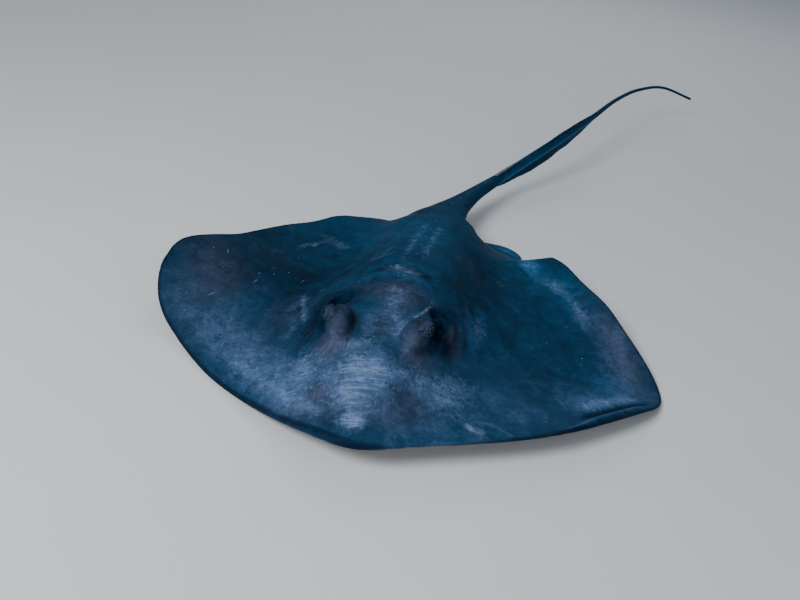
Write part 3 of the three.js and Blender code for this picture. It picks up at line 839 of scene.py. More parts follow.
def take_back(mesh, exact, share):
    """Moves each vertex towards the nearest point of the exact solid by its share of the way."""
    points = positions(mesh)
    for i in np.flatnonzero(share > 0):
        near = exact.find_nearest(Vector(points[i]))[0]
        points[i] = lerp(points[i], np.array(near), share[i])
    place(mesh, points)


def on_disc(y):
    """1 on the disc, 0 on the tail."""
    return smoothstep(420, 395, y)


def melt(mesh):
    """Lets the forms of the head run into it, except close to the eyes, and the tail's root into
    the disc. Gives each vertex's share at the tail's root."""
    points = positions(mesh) / MM
    x, y, z = points.T
    away = from_eyes(points)
    spare = lerp(*KEPT_BY_EYE, facing_eyes(points))
    head = smoothstep(spare, spare + 9, away) * smoothstep(150, 100, away) * smoothstep(30, 60, z)
    smooth(mesh, head, HEAD_PASSES)
    smooth(mesh, head * beside_knobs(points), FEET_PASSES)
    rear = smoothstep(300, 345, y) * smoothstep(450, 415, y) * smoothstep(135, 110, np.abs(x))
    rear *= smoothstep(24, 34, z)
    smooth(mesh, rear, ROOT_PASSES)
    return rear


def thin_parts(mesh):
    """1 at the margin and on the tail and the pelvic fins, which are too thin for the remesh."""
    x, y, _ = positions(mesh).T / MM
    thin = np.maximum(smoothstep(16, 10, margin_gap(x, y, 20)), smoothstep(400, 430, y))
    return np.maximum(thin, smoothstep(318, 326, y) * smoothstep(50, 60, np.abs(x)))


def over_head(points):
    """Where the upper side of the head is."""
    across, along = np.abs(points[:, :2] - HEAD_MIDDLE).T
    return (across < HEAD_SIZE[0]) & (along < HEAD_SIZE[1]) & (points[:, 2] > 50)


def sharpen_eyes(mesh, exact):
    """Takes the lids back from the exact solid."""
    points = positions(mesh) / MM
    away, front = from_eyes(points), facing_eyes(points)
    take_back(mesh, exact, smoothstep(lerp(20, 30, front), lerp(15.5, 21, front), away))
    smooth(mesh, smoothstep(150, 60, away) * 0.9, 3, push=0.45)


def carve(mesh):
    """Raises the relief, the folds round the lids and the thorns out of the skin."""
    points = positions(mesh) / MM
    facing = normals(mesh)
    x, y = points[:, 0], points[:, 1]
    shift = relief(x, y) * smoothstep(0.1, 0.45, facing[:, 2]) * on_disc(y)
    shift += belly_relief(x, y) * smoothstep(-0.1, -0.6, facing[:, 2]) * on_disc(y)
    shift *= smoothstep(20, 36, from_eyes(points))
    shift += lid_folds(points)
    points += facing * shift[:, None]
    thorn = np.maximum(0, 1 - near_thorns(points) / THORN_WIDTH)**1.3
    points += np.array([0, THORN_LEAN, 1]) * (THORN_HEIGHT * thorn)[:, None]
    points[:, 2] = np.maximum(points[:, 2], 0)
    place(mesh, points * MM)


def make_skin(name):
    whole = make_whole(name)
    exact = BVHTree.FromObject(whole, bpy.context.evaluated_depsgraph_get())
    step = whole.modifiers.new("even", "REMESH")
    step.mode = "VOXEL"
    step.voxel_size = VOXEL * MM
    mesh = evaluated(whole).data
    smooth(mesh, np.ones(len(mesh.vertices)), 4, push=0.52)
    rear = melt(mesh)
    thin = thin_parts(mesh) * (1 - rear)
    take_back(mesh, exact, thin)
    smooth(mesh, thin, 5, push=0.5)
    refine(whole, over_head)
    refine(whole, lambda points: from_eyes(points) < 40)
    refine(whole, lambda points: near_thorns(points) < 9)
    refine(whole, lambda points: near_thorns(points) < 6)
    sharpen_eyes(mesh, exact)
    carve(mesh)
    return whole


# ---- Where each marking lies ----
# A patch is its amount, then x and y, its half length and half width, and its turn if it has one.
# A streak is its amount, half width and line.

# Pale sand on the skin; its broad patches over the front also paint in a brighter light there.
DUST_AND_FRONT_LIGHT = [
    (0.45, -60, -288, 120, 54), (0.3, -230, -226, 120, 46, -30), (0.6, -26, -264, 42, 30),
    (1.15, -25, -350, 19, 13), (-0.7, -150, -142, 15, 40), (-0.5, 86, -150, 18, 36),
    (0.35, -34, -316, 28, 20), (0.35, -16, -120, 22, 62), (0.4, -46, -168, 26, 40),
    (0.45, 8, -165, 14, 34), (0.35, -62, -216, 34, 16), (0.35, -38, 22, 17, 9, 10),
    (0.3, -10, 8, 20, 10, -14), (0.3, -25, 8, 46, 24), (0.45, 88, -256, 52, 36, -20),
    (0.4, 118, -215, 28, 34), (0.4, 132, -46, 20, 48), (0.75, 160, -297, 24, 8, -10),
    (0.45, -262, 176, 24, 8, 60), (0.4, -240, 196, 20, 7, 66), (0.4, -206, 226, 46, 18, -34),
    (-0.4, -320, 110, 110, 70, -36), (0.38, 274, 206, 22, 30, 40), (0.36, 324, 128, 20, 44, 20),
    (0.4, 206, 280, 24, 60, 28), (0.3, 160, 390, 50, 40), (0.3, -135, -240, 20, 46, -8),
    (0.2, 330, -120, 90, 60, 30), (0.25, 400, 20, 40, 100, 10), (0.25, -96, -110, 10, 40),
    (0.22, -28, -60, 70, 30), (0.2, -330, -130, 110, 50, -20), (-0.2, -95, -292, 24, 20),
    (-0.2, 42, -280, 30, 18), (-0.4, -74, -182, 12, 26), (-0.3, -100, -96, 26, 44),
    (-0.3, 40, -174, 20, 16),
]
DUST_STREAKS = [
    (0.4, 7, [(-208, -6), (-198, -40), (-184, -78), (-172, -116), (-162, -152)]),
    (0.25, 12, [(-216, -30), (-206, -70), (-190, -120), (-176, -170)]),
    (0.15, 12, [(232, 232), (262, 206), (300, 168), (322, 130), (340, 92)]),
    (0.35, 5, [(-112, 66), (-86, 68), (-66, 78), (-46, 100)]),
    (0.4, 14, [(318, -178), (361, -134), (398, -101), (436, -64)]),
    (0.2, 9, [(-300, -196), (-240, -236), (-180, -274), (-110, -318), (-70, -342)]),
    (0.25, 4, [(-60, 180), (-64, 120), (-84, 60)]),
]
# A browner skin.
WARM = [
    (1.0, -100, -205, 24, 36), (1.0, 40, -205, 26, 36), (1.0, 89, -124, 9, 22), (0.7, -28, -64, 72, 28),
    (0.6, -88, -302, 32, 28), (0.45, 50, -302, 44, 30, 10), (0.8, -84, -224, 30, 18),
    (0.6, 392, 70, 42, 110, 22), (0.3, 430, 30, 30, 110, 24), (0.45, -370, -10, 60, 60),
    (0.35, -415, 60, 50, 50), (0.5, 100, -118, 12, 40), (0.15, 420, -40, 40, 60),
    (0.5, -16, -110, 30, 60), (0.4, -10, -330, 60, 30), (0.35, -120, -320, 60, 30),
    (0.45, -390, -60, 80, 110), (0.3, -260, -180, 110, 50, -34), (0.4, -215, -80, 50, 60),
    (-0.35, -310, 100, 80, 60, -36), (0.15, 42, -281, 32, 20), (0.15, -96, -292, 26, 22),
]
# A lighter skin, or where below 0 a darker one: the skin's own tone, and painted light and shade as
# well, that is painted shade round the spiracles, on the knobs' tops and inner sides and down the
# trunk's left flank, and a painted brighter light over the front.
TONE_AND_PAINTED_LIGHT = [
    (0.6, -60, -290, 150, 70), (0.75, -246, -212, 120, 50, -30), (0.4, -360, -120, 90, 44, -20),
    (0.35, 120, -320, 160, 40, 14), (0.25, 60, -120, 240, 90), (0.2, 0, 260, 160, 130),
    (0.25, -180, -90, 60, 80), (-0.4, -310, 110, 120, 70, -36), (0.9, 90, -124, 7, 20),
    (-0.35, -255, 40, 90, 60), (-0.25, -240, 200, 60, 30, 41), (0.15, -110, 190, 70, 70),
    (-0.3, -210, 60, 50, 90), (-0.3, 200, -60, 70, 100), (-0.55, 110, 180, 50, 110, 10),
    (-0.35, 84, 40, 34, 60), (-0.8, 80, -84, 20, 52), (-1.0, 84, -146, 18, 38),
    (-1.0, -150, -142, 22, 52), (-0.7, -138, -74, 26, 30), (0.5, 132, -46, 20, 50),
    (0.4, 112, -230, 60, 40), (0.35, 240, -232, 90, 34, 28), (0.6, 395, 60, 44, 130, 18),
    (0.6, 400, -70, 60, 60, 30), (0.55, 340, -140, 60, 40, 42), (0.35, 300, 150, 30, 70, 25),
    (1.0, 206, 280, 26, 64, 28), (0.8, 160, 396, 60, 44), (0.35, -20, -140, 40, 60),
    (-0.8, -76, -184, 9, 26), (-0.5, -100, -96, 26, 44), (-0.5, 40, -174, 20, 16),
    (-0.35, -100, -180, 16, 14), (-0.3, -215, -70, 40, 50), (0.5, -150, -305, 60, 20, -28),
    (0.5, 284, 222, 30, 34), (0.35, 190, -200, 50, 30, 20), (-0.1, -28, -64, 70, 30),
    (0.2, -102, -202, 22, 24), (0.25, 36, -208, 20, 22), (-0.45, -108, -158, 24, 26),
    (-0.45, 38, -160, 22, 24), (-0.3, -370, 30, 70, 60), (-0.3, -300, -250, 90, 16, -33),
    (-0.25, -86, -306, 28, 26), (-0.35, 48, -306, 42, 28, 10), (-0.4, -70, -345, 30, 10, -30),
]
# Painted highlights along the crests of the lip, the front margin, the snout's ripple, the rear
# wrinkles and the nape's fold; painted shade in the trough, beyond the lip, in the wrinkles' valley, in
# the nape's groove and down the trunk's left flank.
TONE_AND_PAINTED_LIGHT_STREAKS = [
    (0.8, 2.6, LIP), (-0.9, 6, TROUGH),
    (0.5, 12, [(316, -180), (358, -140), (396, -104), (436, -66)]),
    (-0.9, 5, [
        (196, -317), (250, -292), (300, -250), (330, -223), (356, -197), (381, -174), (404, -151),
        (426, -130), (450, -102),
    ]),
    (0.7, 2.4, [(20, -380), (66, -366), (110, -345), (155, -326), (200, -308), (252, -284)]),
    (0.6, 4, [(150, -280), (184, -277), (207, -285), (232, -296)]),
    (0.5, 4, [(184, 263), (203, 250), (216, 230)]), (0.5, 4, [(192, 272), (213, 257), (226, 240)]),
    (-0.6, 4, [(186, 256), (202, 244), (214, 226)]),
    (0.35, 6, [(-104, -34), (-70, -17), (-28, -10), (20, -16), (52, -38)]),
    (-0.5, 8, [(-92, -8), (-60, 10), (-26, 16), (14, 10), (44, -6)]),
    (-0.5, 7, [(118, -150), (112, -90), (100, -30), (84, 30)]),
    (0.2, 5, [(-340, -170), (-270, -218), (-200, -262), (-130, -306)]),
]
# Pale ladders of short marks beside the middle of the back, and scratches on the left knob.
LADDERS = [[(-34, 40), (-32, 110), (-27, 200), (-18, 290)], [(0, 50), (3, 130), (8, 215), (12, 270)]]
SCRATCHES = [[(-4, -200), (10, -160), (24, -118), (40, -76), (48, -56)]]
# Small single marks, as patches.
SCUFFS = [
    (0.5, -382, 51, 12, 2.6, 112), (0.4, -305, -3, 12, 2.6, 72), (0.5, -366, -72, 12, 2.2, 50),
    (0.35, -222, 36, 12, 2.2, 72), (0.35, -168, -14, 12, 1.8, 40), (0.35, -190, -40, 11, 1.6, 48),
    (0.3, -150, 20, 14, 1.6, 32), (0.9, -408, 42, 2.4, 2.2), (0.9, -307, 24, 2.8, 2.2),
    (0.8, -281, 36, 2.2, 1.8), (0.9, -259, 125, 2.2, 2.0), (0.7, -399, -119, 2.6, 2.0),
    (0.9, 263, 27, 2.6, 2.2), (0.7, 333, 12, 4.0, 2.4), (0.6, 331, -9, 2.2, 1.8),
    (0.6, 341, -48, 2.0, 1.8), (0.5, 241, -31, 2.0, 1.6), (0.6, 144, -193, 2.4, 2.0),
    (0.7, 185, -272, 2.4, 2.0), (0.6, 230, -244, 2.4, 1.8), (0.6, 269, -230, 2.4, 2.0),
    (0.6, 409, -48, 2.2, 1.8), (0.8, -2, -182, 2.4, 2.0), (0.7, -98, -34, 2.2, 1.8),
    (0.5, -196, -44, 5, 3.5, 30),
]


def hollowness(points):
    """1 deep in a spiracle, 0 outside."""
    found = np.zeros(len(points))
    for side in (1, -1):
        for place, radii, (tilt, yaw) in HOLLOWS:
            spin = turned((0, side * tilt, side * yaw))
            local = (points - by_eye(side, *place)) @ spin / np.array(radii)
            found = np.maximum(found, smoothstep(1.4, 0.98, np.linalg.norm(local, axis=1)))
    return found


def tail_side(points):
    """How near each point is to the lower side of the tail's rod, along the skin fold."""
    found = np.zeros(len(points))
    distance = np.arange(250, 840, 5.0)
    centre, _, _, up = tail_frames(distance)
    back = np.flatnonzero(points[:, 1] > 600)
    for start in range(0, len(back), CHUNK):
        part = back[start:start + CHUNK]
        gap = np.linalg.norm(points[part, None] - centre, axis=2)
        i = gap.argmin(1)
        local = points[part] - centre[i]
        height = profile(TAIL_HEIGHT, distance[i]) / 2
        level = (local * up[i]).sum(1) / height
        ends = smoothstep(250, 300, distance[i]) * smoothstep(835, 760, distance[i])
        found[part] = np.exp(-((level + 0.22) / 0.5)**2) * ends
    return found


def added(x, y, patches, streaks=()):
    """A marking's amount at each place, from its patches and streaks."""
    total = sum(amount * patch(x, y, *where) for amount, *where in patches)
    return total + sum(amount * nearness(x, y, line, width) for amount, width, line in streaks)


def mark_skin(mesh):
    """Gives the skin's vertices the amounts that its material reads."""
    points = positions(mesh) / MM
    facing = normals(mesh)[:, 2]
    x, y, z = points.T
    disc = on_disc(y)
    inside = smoothstep(110, 70, np.abs(x)) + smoothstep(0.1, -0.3, facing)
    inside = np.minimum(inside, 1) * smoothstep(320, 345, y)
    below = smoothstep(-0.05, -0.5, facing) * smoothstep(450, 400, y)
    below *= 1 - smoothstep(320, 340, y) * smoothstep(19, 27, z)
    marks = {
        # Sand, and over the front a painted brighter light.
        "dust_and_front_light": added(x, y, DUST_AND_FRONT_LIGHT, DUST_STREAKS) * disc,
        "warm": np.clip(added(x, y, WARM), 0, 1) * disc,
        # The skin's tone, together with painted light and painted shade.
        "tone_and_painted_light": added(x, y, TONE_AND_PAINTED_LIGHT, TONE_AND_PAINTED_LIGHT_STREAKS) * smoothstep(470, 440, y),
        "rim": lerp(margin_gap(x, y), 70, np.maximum(inside, 1 - disc)),
        "belly": below * smoothstep(60, 90, from_eyes(points)),
        # Where the spiracles are painted dark, partly as painted shade.
        "hollow": hollowness(points) * smoothstep(-0.5, 0.1, facing + (z - 90) / 60),
        # How far the back stands out, for painted shade in its hollows and painted highlights on its
        # crests.
        "relief_shading": relief(x, y) / 6 * disc,
        "ladder": sum(nearness(x, y, line, 7) for line in LADDERS),
        "scratch": sum(nearness(x, y, line, 5) for line in SCRATCHES),
        "tail": smoothstep(330, 470, y),
        "rod": tail_side(points),
        "thorn": smoothstep(4.5, 1.5, near_thorns(points)),
        "slit": slits(x, y) * smoothstep(-0.1, -0.5, facing) * disc,
    }
    for name, values in marks.items():
        layer = mesh.attributes.new(name, "FLOAT", "POINT")
        layer.data.foreach_set("value", np.asarray(values, np.float32))


skin = make_skin("skin")
mark_skin(skin.data)
print("skin", len(skin.data.vertices), "vertices")

FLESH = [
    "head", "trunk", "tail_root", "pectoral_fin_left", "pectoral_fin_right", "pelvic_fin_left",
    "pelvic_fin_right", "tail_middle", "tail_rear", "tail_whip", "tail_tip", "tail_fold_lower",
    "tail_keel_upper",
]
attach(skin, "root")
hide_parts(*FLESH)


# ---- The eyes ----


def make_eye(name, side):
    """An eyeball with a bulging cornea. "look" holds each point's place on the face of the eye."""
    centre, axes = eye_frame(side)
    ahead, up, gaze = axes.T
    angle = np.linspace(0, np.pi, 73)[1:-1]
    around = round_angles(96)
    size = EYE_RADIUS + CORNEA * np.exp(-(angle / 0.6)**4)
    out = np.cos(around)[:, None] * ahead + np.sin(around)[:, None] * up
    rings = centre + size[:, None, None] * (
        np.cos(angle)[:, None, None] * gaze + np.sin(angle)[:, None, None] * out[None])
    eye = loft(name, rings)
    local = unit(positions(eye.data) / MM - centre)
    look = np.stack([local @ ahead, local @ up, local @ gaze], -1)
    layer = eye.data.attributes.new("look", "FLOAT_VECTOR", "POINT")
    layer.data.foreach_set("vector", look.astype(np.float32).ravel())
    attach(eye, "root")
    return eye


eye_left = make_eye("eyeball_left", 1)
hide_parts("eye_left")
eye_right = make_eye("eyeball_right", -1)
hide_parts("eye_right")


# ---- The sting ----


def make_sting(name):
    """A flat bony blade with a groove down its back and barbs that point to its root."""
    ends = np.array([STING_ROOT, STING_ROOT + STING_LENGTH])
    (base, end), _, _, ups = tail_frames(ends)
    lift = profile(TAIL_HEIGHT, ends) / 2
    root = base + ups[0] * (lift[0] + 1.6)
    tip = end + ups[1] * (lift[1] + 3.4)
    along = (tip - root) / np.linalg.norm(tip - root)
    across = np.cross(ups[0], along)
    across /= np.linalg.norm(across)
    top = np.cross(along, across)
    u = np.linspace(0, 1, 420)
    half = 4.3 * (1 - u**2.2) + 0.35
    tooth = (u * 46) % 1
    barb = smoothstep(0.22, 0.32, u) * (0.9 * tooth - 0.3) * (1 - 0.5 * u)
    thick = 1.6 * (1 - u**3) + 0.2
    corner = np.array([
        (1, 0), (0.8, 0.55), (0.45, 0.95), (0.16, 0.9), (0, 0.66), (-0.16, 0.9), (-0.45, 0.95),
        (-0.8, 0.55), (-1, 0), (-0.7, -0.6), (0, -0.95), (0.7, -0.6),
    ])
    edge = np.abs(corner[:, 0])**6
    offset = (corner[:, 0] * half[:, None] + np.sign(corner[:, 0]) * edge * barb[:, None])
    rings = (root + (along * STING_LENGTH) * u[:, None])[:, None] + (
        offset[..., None] * across + (thick[:, None] * corner[:, 1])[..., None] * top)
    sting = loft(name, rings)
    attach(sting, "root")
    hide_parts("sting")
    return sting


sting = make_sting("sting_blade")

for piece in (skin, eye_left, eye_right, sting):
    piece.data.polygons.foreach_set("use_smooth", [True] * len(piece.data.polygons))


# ---- Materials ----


def rgb(r, g, b):
    """A display colour, 0 to 255, as the linear colour that the shader takes."""
    linear = [c / 12.92 if c <= 0.04045 else ((c + 0.055) / 1.055)**2.4
              for c in (r / 255, g / 255, b / 255)]
    return (*linear, 1)


class Material:
    """A node material, with short ways to add its nodes. Most methods give an output socket."""

    def __init__(self, name):
        self.material = bpy.data.materials.new(name)
        self.material.use_nodes = True
        self.tree = self.material.node_tree
        self.place = self.node("TexCoord").outputs["Object"]
        self.colour = None

    def feed(self, socket, value):
        if isinstance(value, bpy.types.NodeSocket):
            self.tree.links.new(value, socket)
        else:
            socket.default_value = value

    def node(self, kind, inputs=None, **settings):
        """A new node with these settings, and these values or sockets fed to its inputs."""
        made = self.tree.nodes.new("ShaderNode" + kind)
        for key, value in settings.items():
            setattr(made, key, value)
        for key, value in (inputs or {}).items():
            self.feed(made.inputs[key], value)
        return made

    def math(self, operation, a, b=0.0, clamp=False):
        return self.node("Math", {0: a, 1: b}, operation=operation, use_clamp=clamp).outputs[0]

    def times(self, first, *others):
        for other in others:
            first = self.math("MULTIPLY", first, other)
        return first

    def plus(self, first, *others):
        for other in others:
            first = self.math("ADD", first, other)
        return first

    def about(self, field, amount):
        """A field that runs from 0 to 1, moved to lie about 0 and scaled."""
        return self.times(self.math("SUBTRACT", field, 0.5), amount)

    def attribute(self, name, output="Fac"):
        return self.node("Attribute", attribute_name=name).outputs[output]

    def split(self, kind, whole):
        """The three parts of a vector ("XYZ") or a colour ("Color")."""
        return self.node("Separate" + kind, {0: whole}).outputs

    def mapped(self, scale, turn, at=(0, 0, 0)):
        """The place as measured from a middle, in units of scale, with a turn in degrees."""
        turn = (0, 0, math.radians(turn))
        inputs = {"Vector": self.place, "Location": at, "Rotation": turn, "Scale": scale}
        return self.node("Mapping", inputs, vector_type="TEXTURE").outputs[0]

    def noise(self, scale, detail=4, rough=0.5, distortion=0.0, vector=None):
        return self.node("TexNoise", {
            "Vector": vector or self.place, "Scale": scale, "Detail": detail,
            "Roughness": rough, "Distortion": distortion,
        }).outputs["Fac"]

    def streaks(self, scale, turn, detail, rough):
        """Noise with its own scale along each of three axes, which are turned by some degrees."""
        return self.noise(1, detail, rough, vector=self.mapped([1 / v for v in scale], turn))

    def cells(self, scale):
        return self.node("TexVoronoi", {"Vector": self.place, "Scale": scale}).outputs

    def step(self, value, start, end, low=0.0, high=1.0):
        """A smooth step from low to high as value goes from start to end."""
        inputs = dict(enumerate((value, start, end, low, high)))
        return self.node("MapRange", inputs, interpolation_type="SMOOTHSTEP").outputs[0]

    def mix(self, share, a, b, blend="MIX"):
        inputs = {"Factor": share, "A": a, "B": b}
        made = self.node("Mix", inputs, data_type="RGBA", blend_type=blend)
        return next(o for o in made.outputs if o.type == "RGBA")

    def ramp(self, value, *stops):
        """A colour by value. Each stop is a value and a display colour."""
        made = self.node("ValToRGB", {"Fac": value})
        points = made.color_ramp.elements
        while len(points) < len(stops):
            points.new(0.5)
        for point, (at, *colour) in zip(points, stops):
            point.position = at
            point.color = rgb(*colour)
        return made.outputs["Color"]

    def lay(self, over, *shares):
        """Lays a display colour or a socket over the colour so far, by the shares' product."""
        if isinstance(over, tuple):
            over = rgb(*over)
        self.colour = self.mix(self.times(*shares), self.colour, over)

    def dots(self, scale, radius, share):
        """Round specks: 1 in each, on about that share of the texture's cells."""
        cells = self.cells(scale)
        chance, size, _ = self.split("Color", cells["Color"])
        kept = self.step(chance, 1 - share, 1 - share + 0.01)
        near = self.math("LESS_THAN", cells["Distance"], self.times(size, radius))
        return self.times(kept, near)

    def spot(self, x, y, length, width, turn=0):
        """An oval in plan, in millimetres: 1 in its middle, falling to 0 at its edge."""
        oval = self.mapped((length * MM, width * MM, 1000), turn, (x * MM, y * MM, 0))
        return self.node("TexGradient", {0: oval}, gradient_type="SPHERICAL").outputs["Fac"]

    def lines(self, scale, turn, width):
        """Thin wandering lines, stretched one way."""
        off = self.math("SUBTRACT", self.streaks(scale, turn, 2, 0.55), 0.5)
        return self.step(self.math("ABSOLUTE", off), width, 0.0)

    def bump(self, height, strength, distance, under=None):
        inputs = {"Strength": strength, "Distance": distance, "Height": height}
        if under is not None:
            inputs["Normal"] = under
        return self.node("Bump", inputs).outputs[0]

    def finish(self, piece, roughness, normal=None, **uniform):
        """Sets the shader, with plain numbers for what is uniform, and dresses the piece."""
        inputs = {"Base Color": self.colour, "Roughness": roughness}
        if normal is not None:
            inputs["Normal"] = normal
        for key, value in uniform.items():
            inputs[key.replace("_", " ")] = value
        for key, value in inputs.items():
            self.feed(self.tree.nodes["Principled BSDF"].inputs[key], value)
        piece.data.materials.clear()
        piece.data.materials.append(self.material)


class Skin(Material):
    """The ray's skin, with the fields that several of its layers use."""

    def __init__(self):
        super().__init__("ray_skin")
        self.cloud = self.noise(7, 4, 0.55)
        self.mottle = self.noise(36, 6, 0.62, 0.5)
        self.fine = self.noise(170, 4, 0.62)
        self.grain = self.noise(520, 3, 0.6)
        self.upper = self.math("SUBTRACT", 1.0, self.attribute("belly"), clamp=True)
        # Sand, and over the front a painted brighter light.
        self.dust_and_front_light = self.times(self.attribute("dust_and_front_light"), self.upper)
        self.thick = self.step(self.dust_and_front_light, 0.35, 0.75)
        self.ripple = self.lines((13, 120, 14), 6, 0.07)
        self.rim = self.attribute("rim")
        self.pores = self.cells(560)["Distance"]


def paint_ground(m):
    """From near-black teal to slate by the skin's tone and painted light and shade, bluer behind the
    head with a painted blue cast of the light, and in places browner.
    """
    # The tone takes in the painted light and shade of its marking.
    tone = m.plus(m.times(m.attribute("tone_and_painted_light"), 0.36), 0.38)
    tone = m.plus(tone, m.plus(m.about(m.cloud, 0.35), m.about(m.mottle, 0.55)))
    tone = m.plus(tone, m.plus(m.about(m.fine, 0.35), m.about(m.grain, 0.2)))
    slate = m.ramp(
        tone, (0.0, 3, 15, 29), (0.25, 9, 37, 59), (0.5, 23, 57, 85), (0.75, 47, 78, 113),
        (1.0, 82, 109, 152))
    # Behind the head the red is taken out: a painted blue cast of the light.
    rearward = m.step(m.split("XYZ", m.place)[1], -0.24, 0.08)
    m.colour = m.mix(rearward, slate, (0.12, 1, 1.07, 1), "MULTIPLY")
    brown = m.ramp(
        tone, (0.0, 18, 22, 36), (0.25, 36, 42, 60), (0.5, 54, 62, 84), (0.75, 78, 86, 114),
        (1.0, 108, 116, 150))
    m.lay(brown, m.attribute("warm"), m.step(m.mottle, 0.2, 0.55, 0.6, 0.95))
    return tone


def paint_sand(m):
    """A haze where it is thin, which over the front also paints a brighter light; broken flecks,
    ripples and pits where it is thick.
    """
    field = m.plus(m.dust_and_front_light, m.about(m.mottle, 0.9), m.about(m.fine, 0.5))
    m.lay((82, 108, 148), m.step(field, 0.05, 1.15), 0.9)
    field = m.plus(m.dust_and_front_light, m.about(m.fine, 1.7), m.about(m.grain, 1.0))
    m.lay((118, 142, 182), m.step(field, 0.8, 1.3), 0.6)
    m.lay((136, 158, 194), m.ripple, m.thick, 0.4)
    m.lay((48, 70, 104), m.lines((16, 105, 14), -4, 0.05), m.thick, 0.35)
    m.lay((22, 42, 66), m.dots(135, 0.3, 0.2), m.step(m.dust_and_front_light, 0.2, 0.45), 0.6)


def paint_marks(m):
    """Rungs beside the middle of the back, scratches, hairs, clumps, scuffs and specks."""
    field = m.plus(m.lines((46, 170, 40), -10, 0.1), m.about(m.mottle, 1.6))
    m.lay((86, 122, 160), m.attribute("ladder"), m.step(field, 0.55, 0.9), 0.48)
    chips = m.about(m.noise(190, 4, 0.65, 1.2), 2.6)
    nicks = m.step(m.plus(m.attribute("scratch"), chips), 0.75, 1.1)
    m.lay((118, 142, 178), nicks, 0.6)
    worn = m.times(m.step(m.noise(20, 3, 0.5), 0.56, 0.7), m.upper)
    for turn, share in ((52, 0.17), (-24, 0.1)):
        m.lay((96, 126, 158), m.lines((15, 150, 20), turn, 0.022), worn, share)
    dusty = m.step(m.dust_and_front_light, 0.1, 0.45)
    clumps = m.step(m.noise(92, 5, 0.7, 0.35), 0.5, 0.64)
    m.lay((106, 132, 172), clumps, dusty, 0.42)
    gaps = m.step(m.noise(70, 5, 0.68, 0.3), 0.54, 0.67)
    m.lay((34, 54, 86), gaps, dusty, 0.5)
    rough_edge = m.about(m.grain, 0.9)
    for strength, *oval in SCUFFS:
        scuff = m.plus(m.spot(*oval), rough_edge)
        m.lay((132, 156, 188), m.step(scuff, 0.2, 0.8, 0, 0.7 * strength), m.upper)
    m.lay((120, 144, 170), m.dots(70, 0.09, 0.1), m.upper, 0.5)
    m.lay((4, 16, 28), m.dots(165, 0.22, 0.1), m.upper, 0.4)


def paint_forms(m, tone):
    """Painted shade in the relief's hollows, painted highlights on its crests and a dark margin of
    painted shade; the tail, the spiracles, partly painted shade, and the thorns.
    """
    relief_shading = m.attribute("relief_shading")
    # Painted shade in the relief's hollows, then painted highlights on its crests.
    m.lay((4, 16, 28), m.step(relief_shading, -0.15, -0.9, 0, 0.6))
    m.lay((72, 100, 132), m.step(relief_shading, 0.2, 0.9, 0, 0.3))
    # Painted shade along the margin's edge, also where the disc's edge lies over the pelvic fins.
    m.lay((6, 24, 46), m.step(m.rim, 8, 2), 0.8)
    tail = m.ramp(tone, (0.1, 2, 26, 48), (0.45, 4, 46, 76), (0.8, 10, 74, 112))
    m.lay(tail, m.attribute("tail"), 0.6)
    m.lay((34, 106, 144), m.attribute("rod"), 0.78)
    depth = m.step(m.plus(m.mottle, m.about(m.fine, 0.6)), 0.35, 0.65)
    # Inside the spiracles: a mottled dark navy that is partly painted shade.
    inside = m.mix(depth, rgb(4, 26, 48), rgb(8, 43, 72))
    m.lay(inside, m.attribute("hollow"), 0.94)
    m.lay((100, 122, 150), m.attribute("thorn"), 0.22)


def paint_underside(m):
    """White, with a dusky border, and pinkish grey in its slits, darkened there partly as painted
    shade.
    """
    above, m.colour = m.colour, rgb(214, 208, 200)
    m.lay((194, 182, 176), m.step(m.mottle, 0.35, 0.7, 0, 0.5))
    m.lay((206, 172, 166), m.step(m.noise(14, 4, 0.6), 0.5, 0.75, 0, 0.3))
    dusky = m.mix(m.step(m.mottle, 0.3, 0.7), rgb(92, 104, 120), rgb(122, 126, 132))
    border = m.plus(m.rim, m.plus(m.times(m.mottle, 26), m.about(m.cloud, 30)))
    m.colour = m.mix(m.step(border, 18, 46), dusky, m.colour)
    # The slits painted dark: their pinkish lining and painted shade.
    m.lay((96, 62, 64), m.step(m.attribute("slit"), 0.2, 0.75, 0, 0.85))
    off_rim = m.step(m.plus(m.rim, m.times(m.mottle, 10)), 6, 13)
    belly = m.times(m.attribute("belly"), off_rim)
    m.colour = m.mix(belly, above, m.colour)


def skin_bumps(m):
    """Pores, then the coarser grain of the skin, then the ripples of the sand."""
    bumps = m.bump(m.step(m.pores, 0.0, 0.4), 0.3, 0.0005)
    bumps = m.bump(m.grain, 0.3, 0.0006, bumps)
    bumps = m.bump(m.noise(95, 5, 0.6), 0.35, 0.0014, bumps)
    return m.bump(m.times(m.ripple, m.thick), 0.35, 0.0012, bumps)


def paint_skin(piece):
    m = Skin()
    tone = paint_ground(m)
    paint_sand(m)
    paint_marks(m)
    paint_forms(m, tone)
    paint_underside(m)
    m.lay((6, 20, 38), m.step(m.pores, 0.3, 0.0, 0, 0.22))
    dry = m.times(m.math("MINIMUM", m.dust_and_front_light, 1.0), 0.15)
    m.finish(piece, m.plus(dry, m.step(m.fine, 0.3, 0.7, 0.5, 0.66)), skin_bumps(m),
             Specular_IOR_Level=0.04)


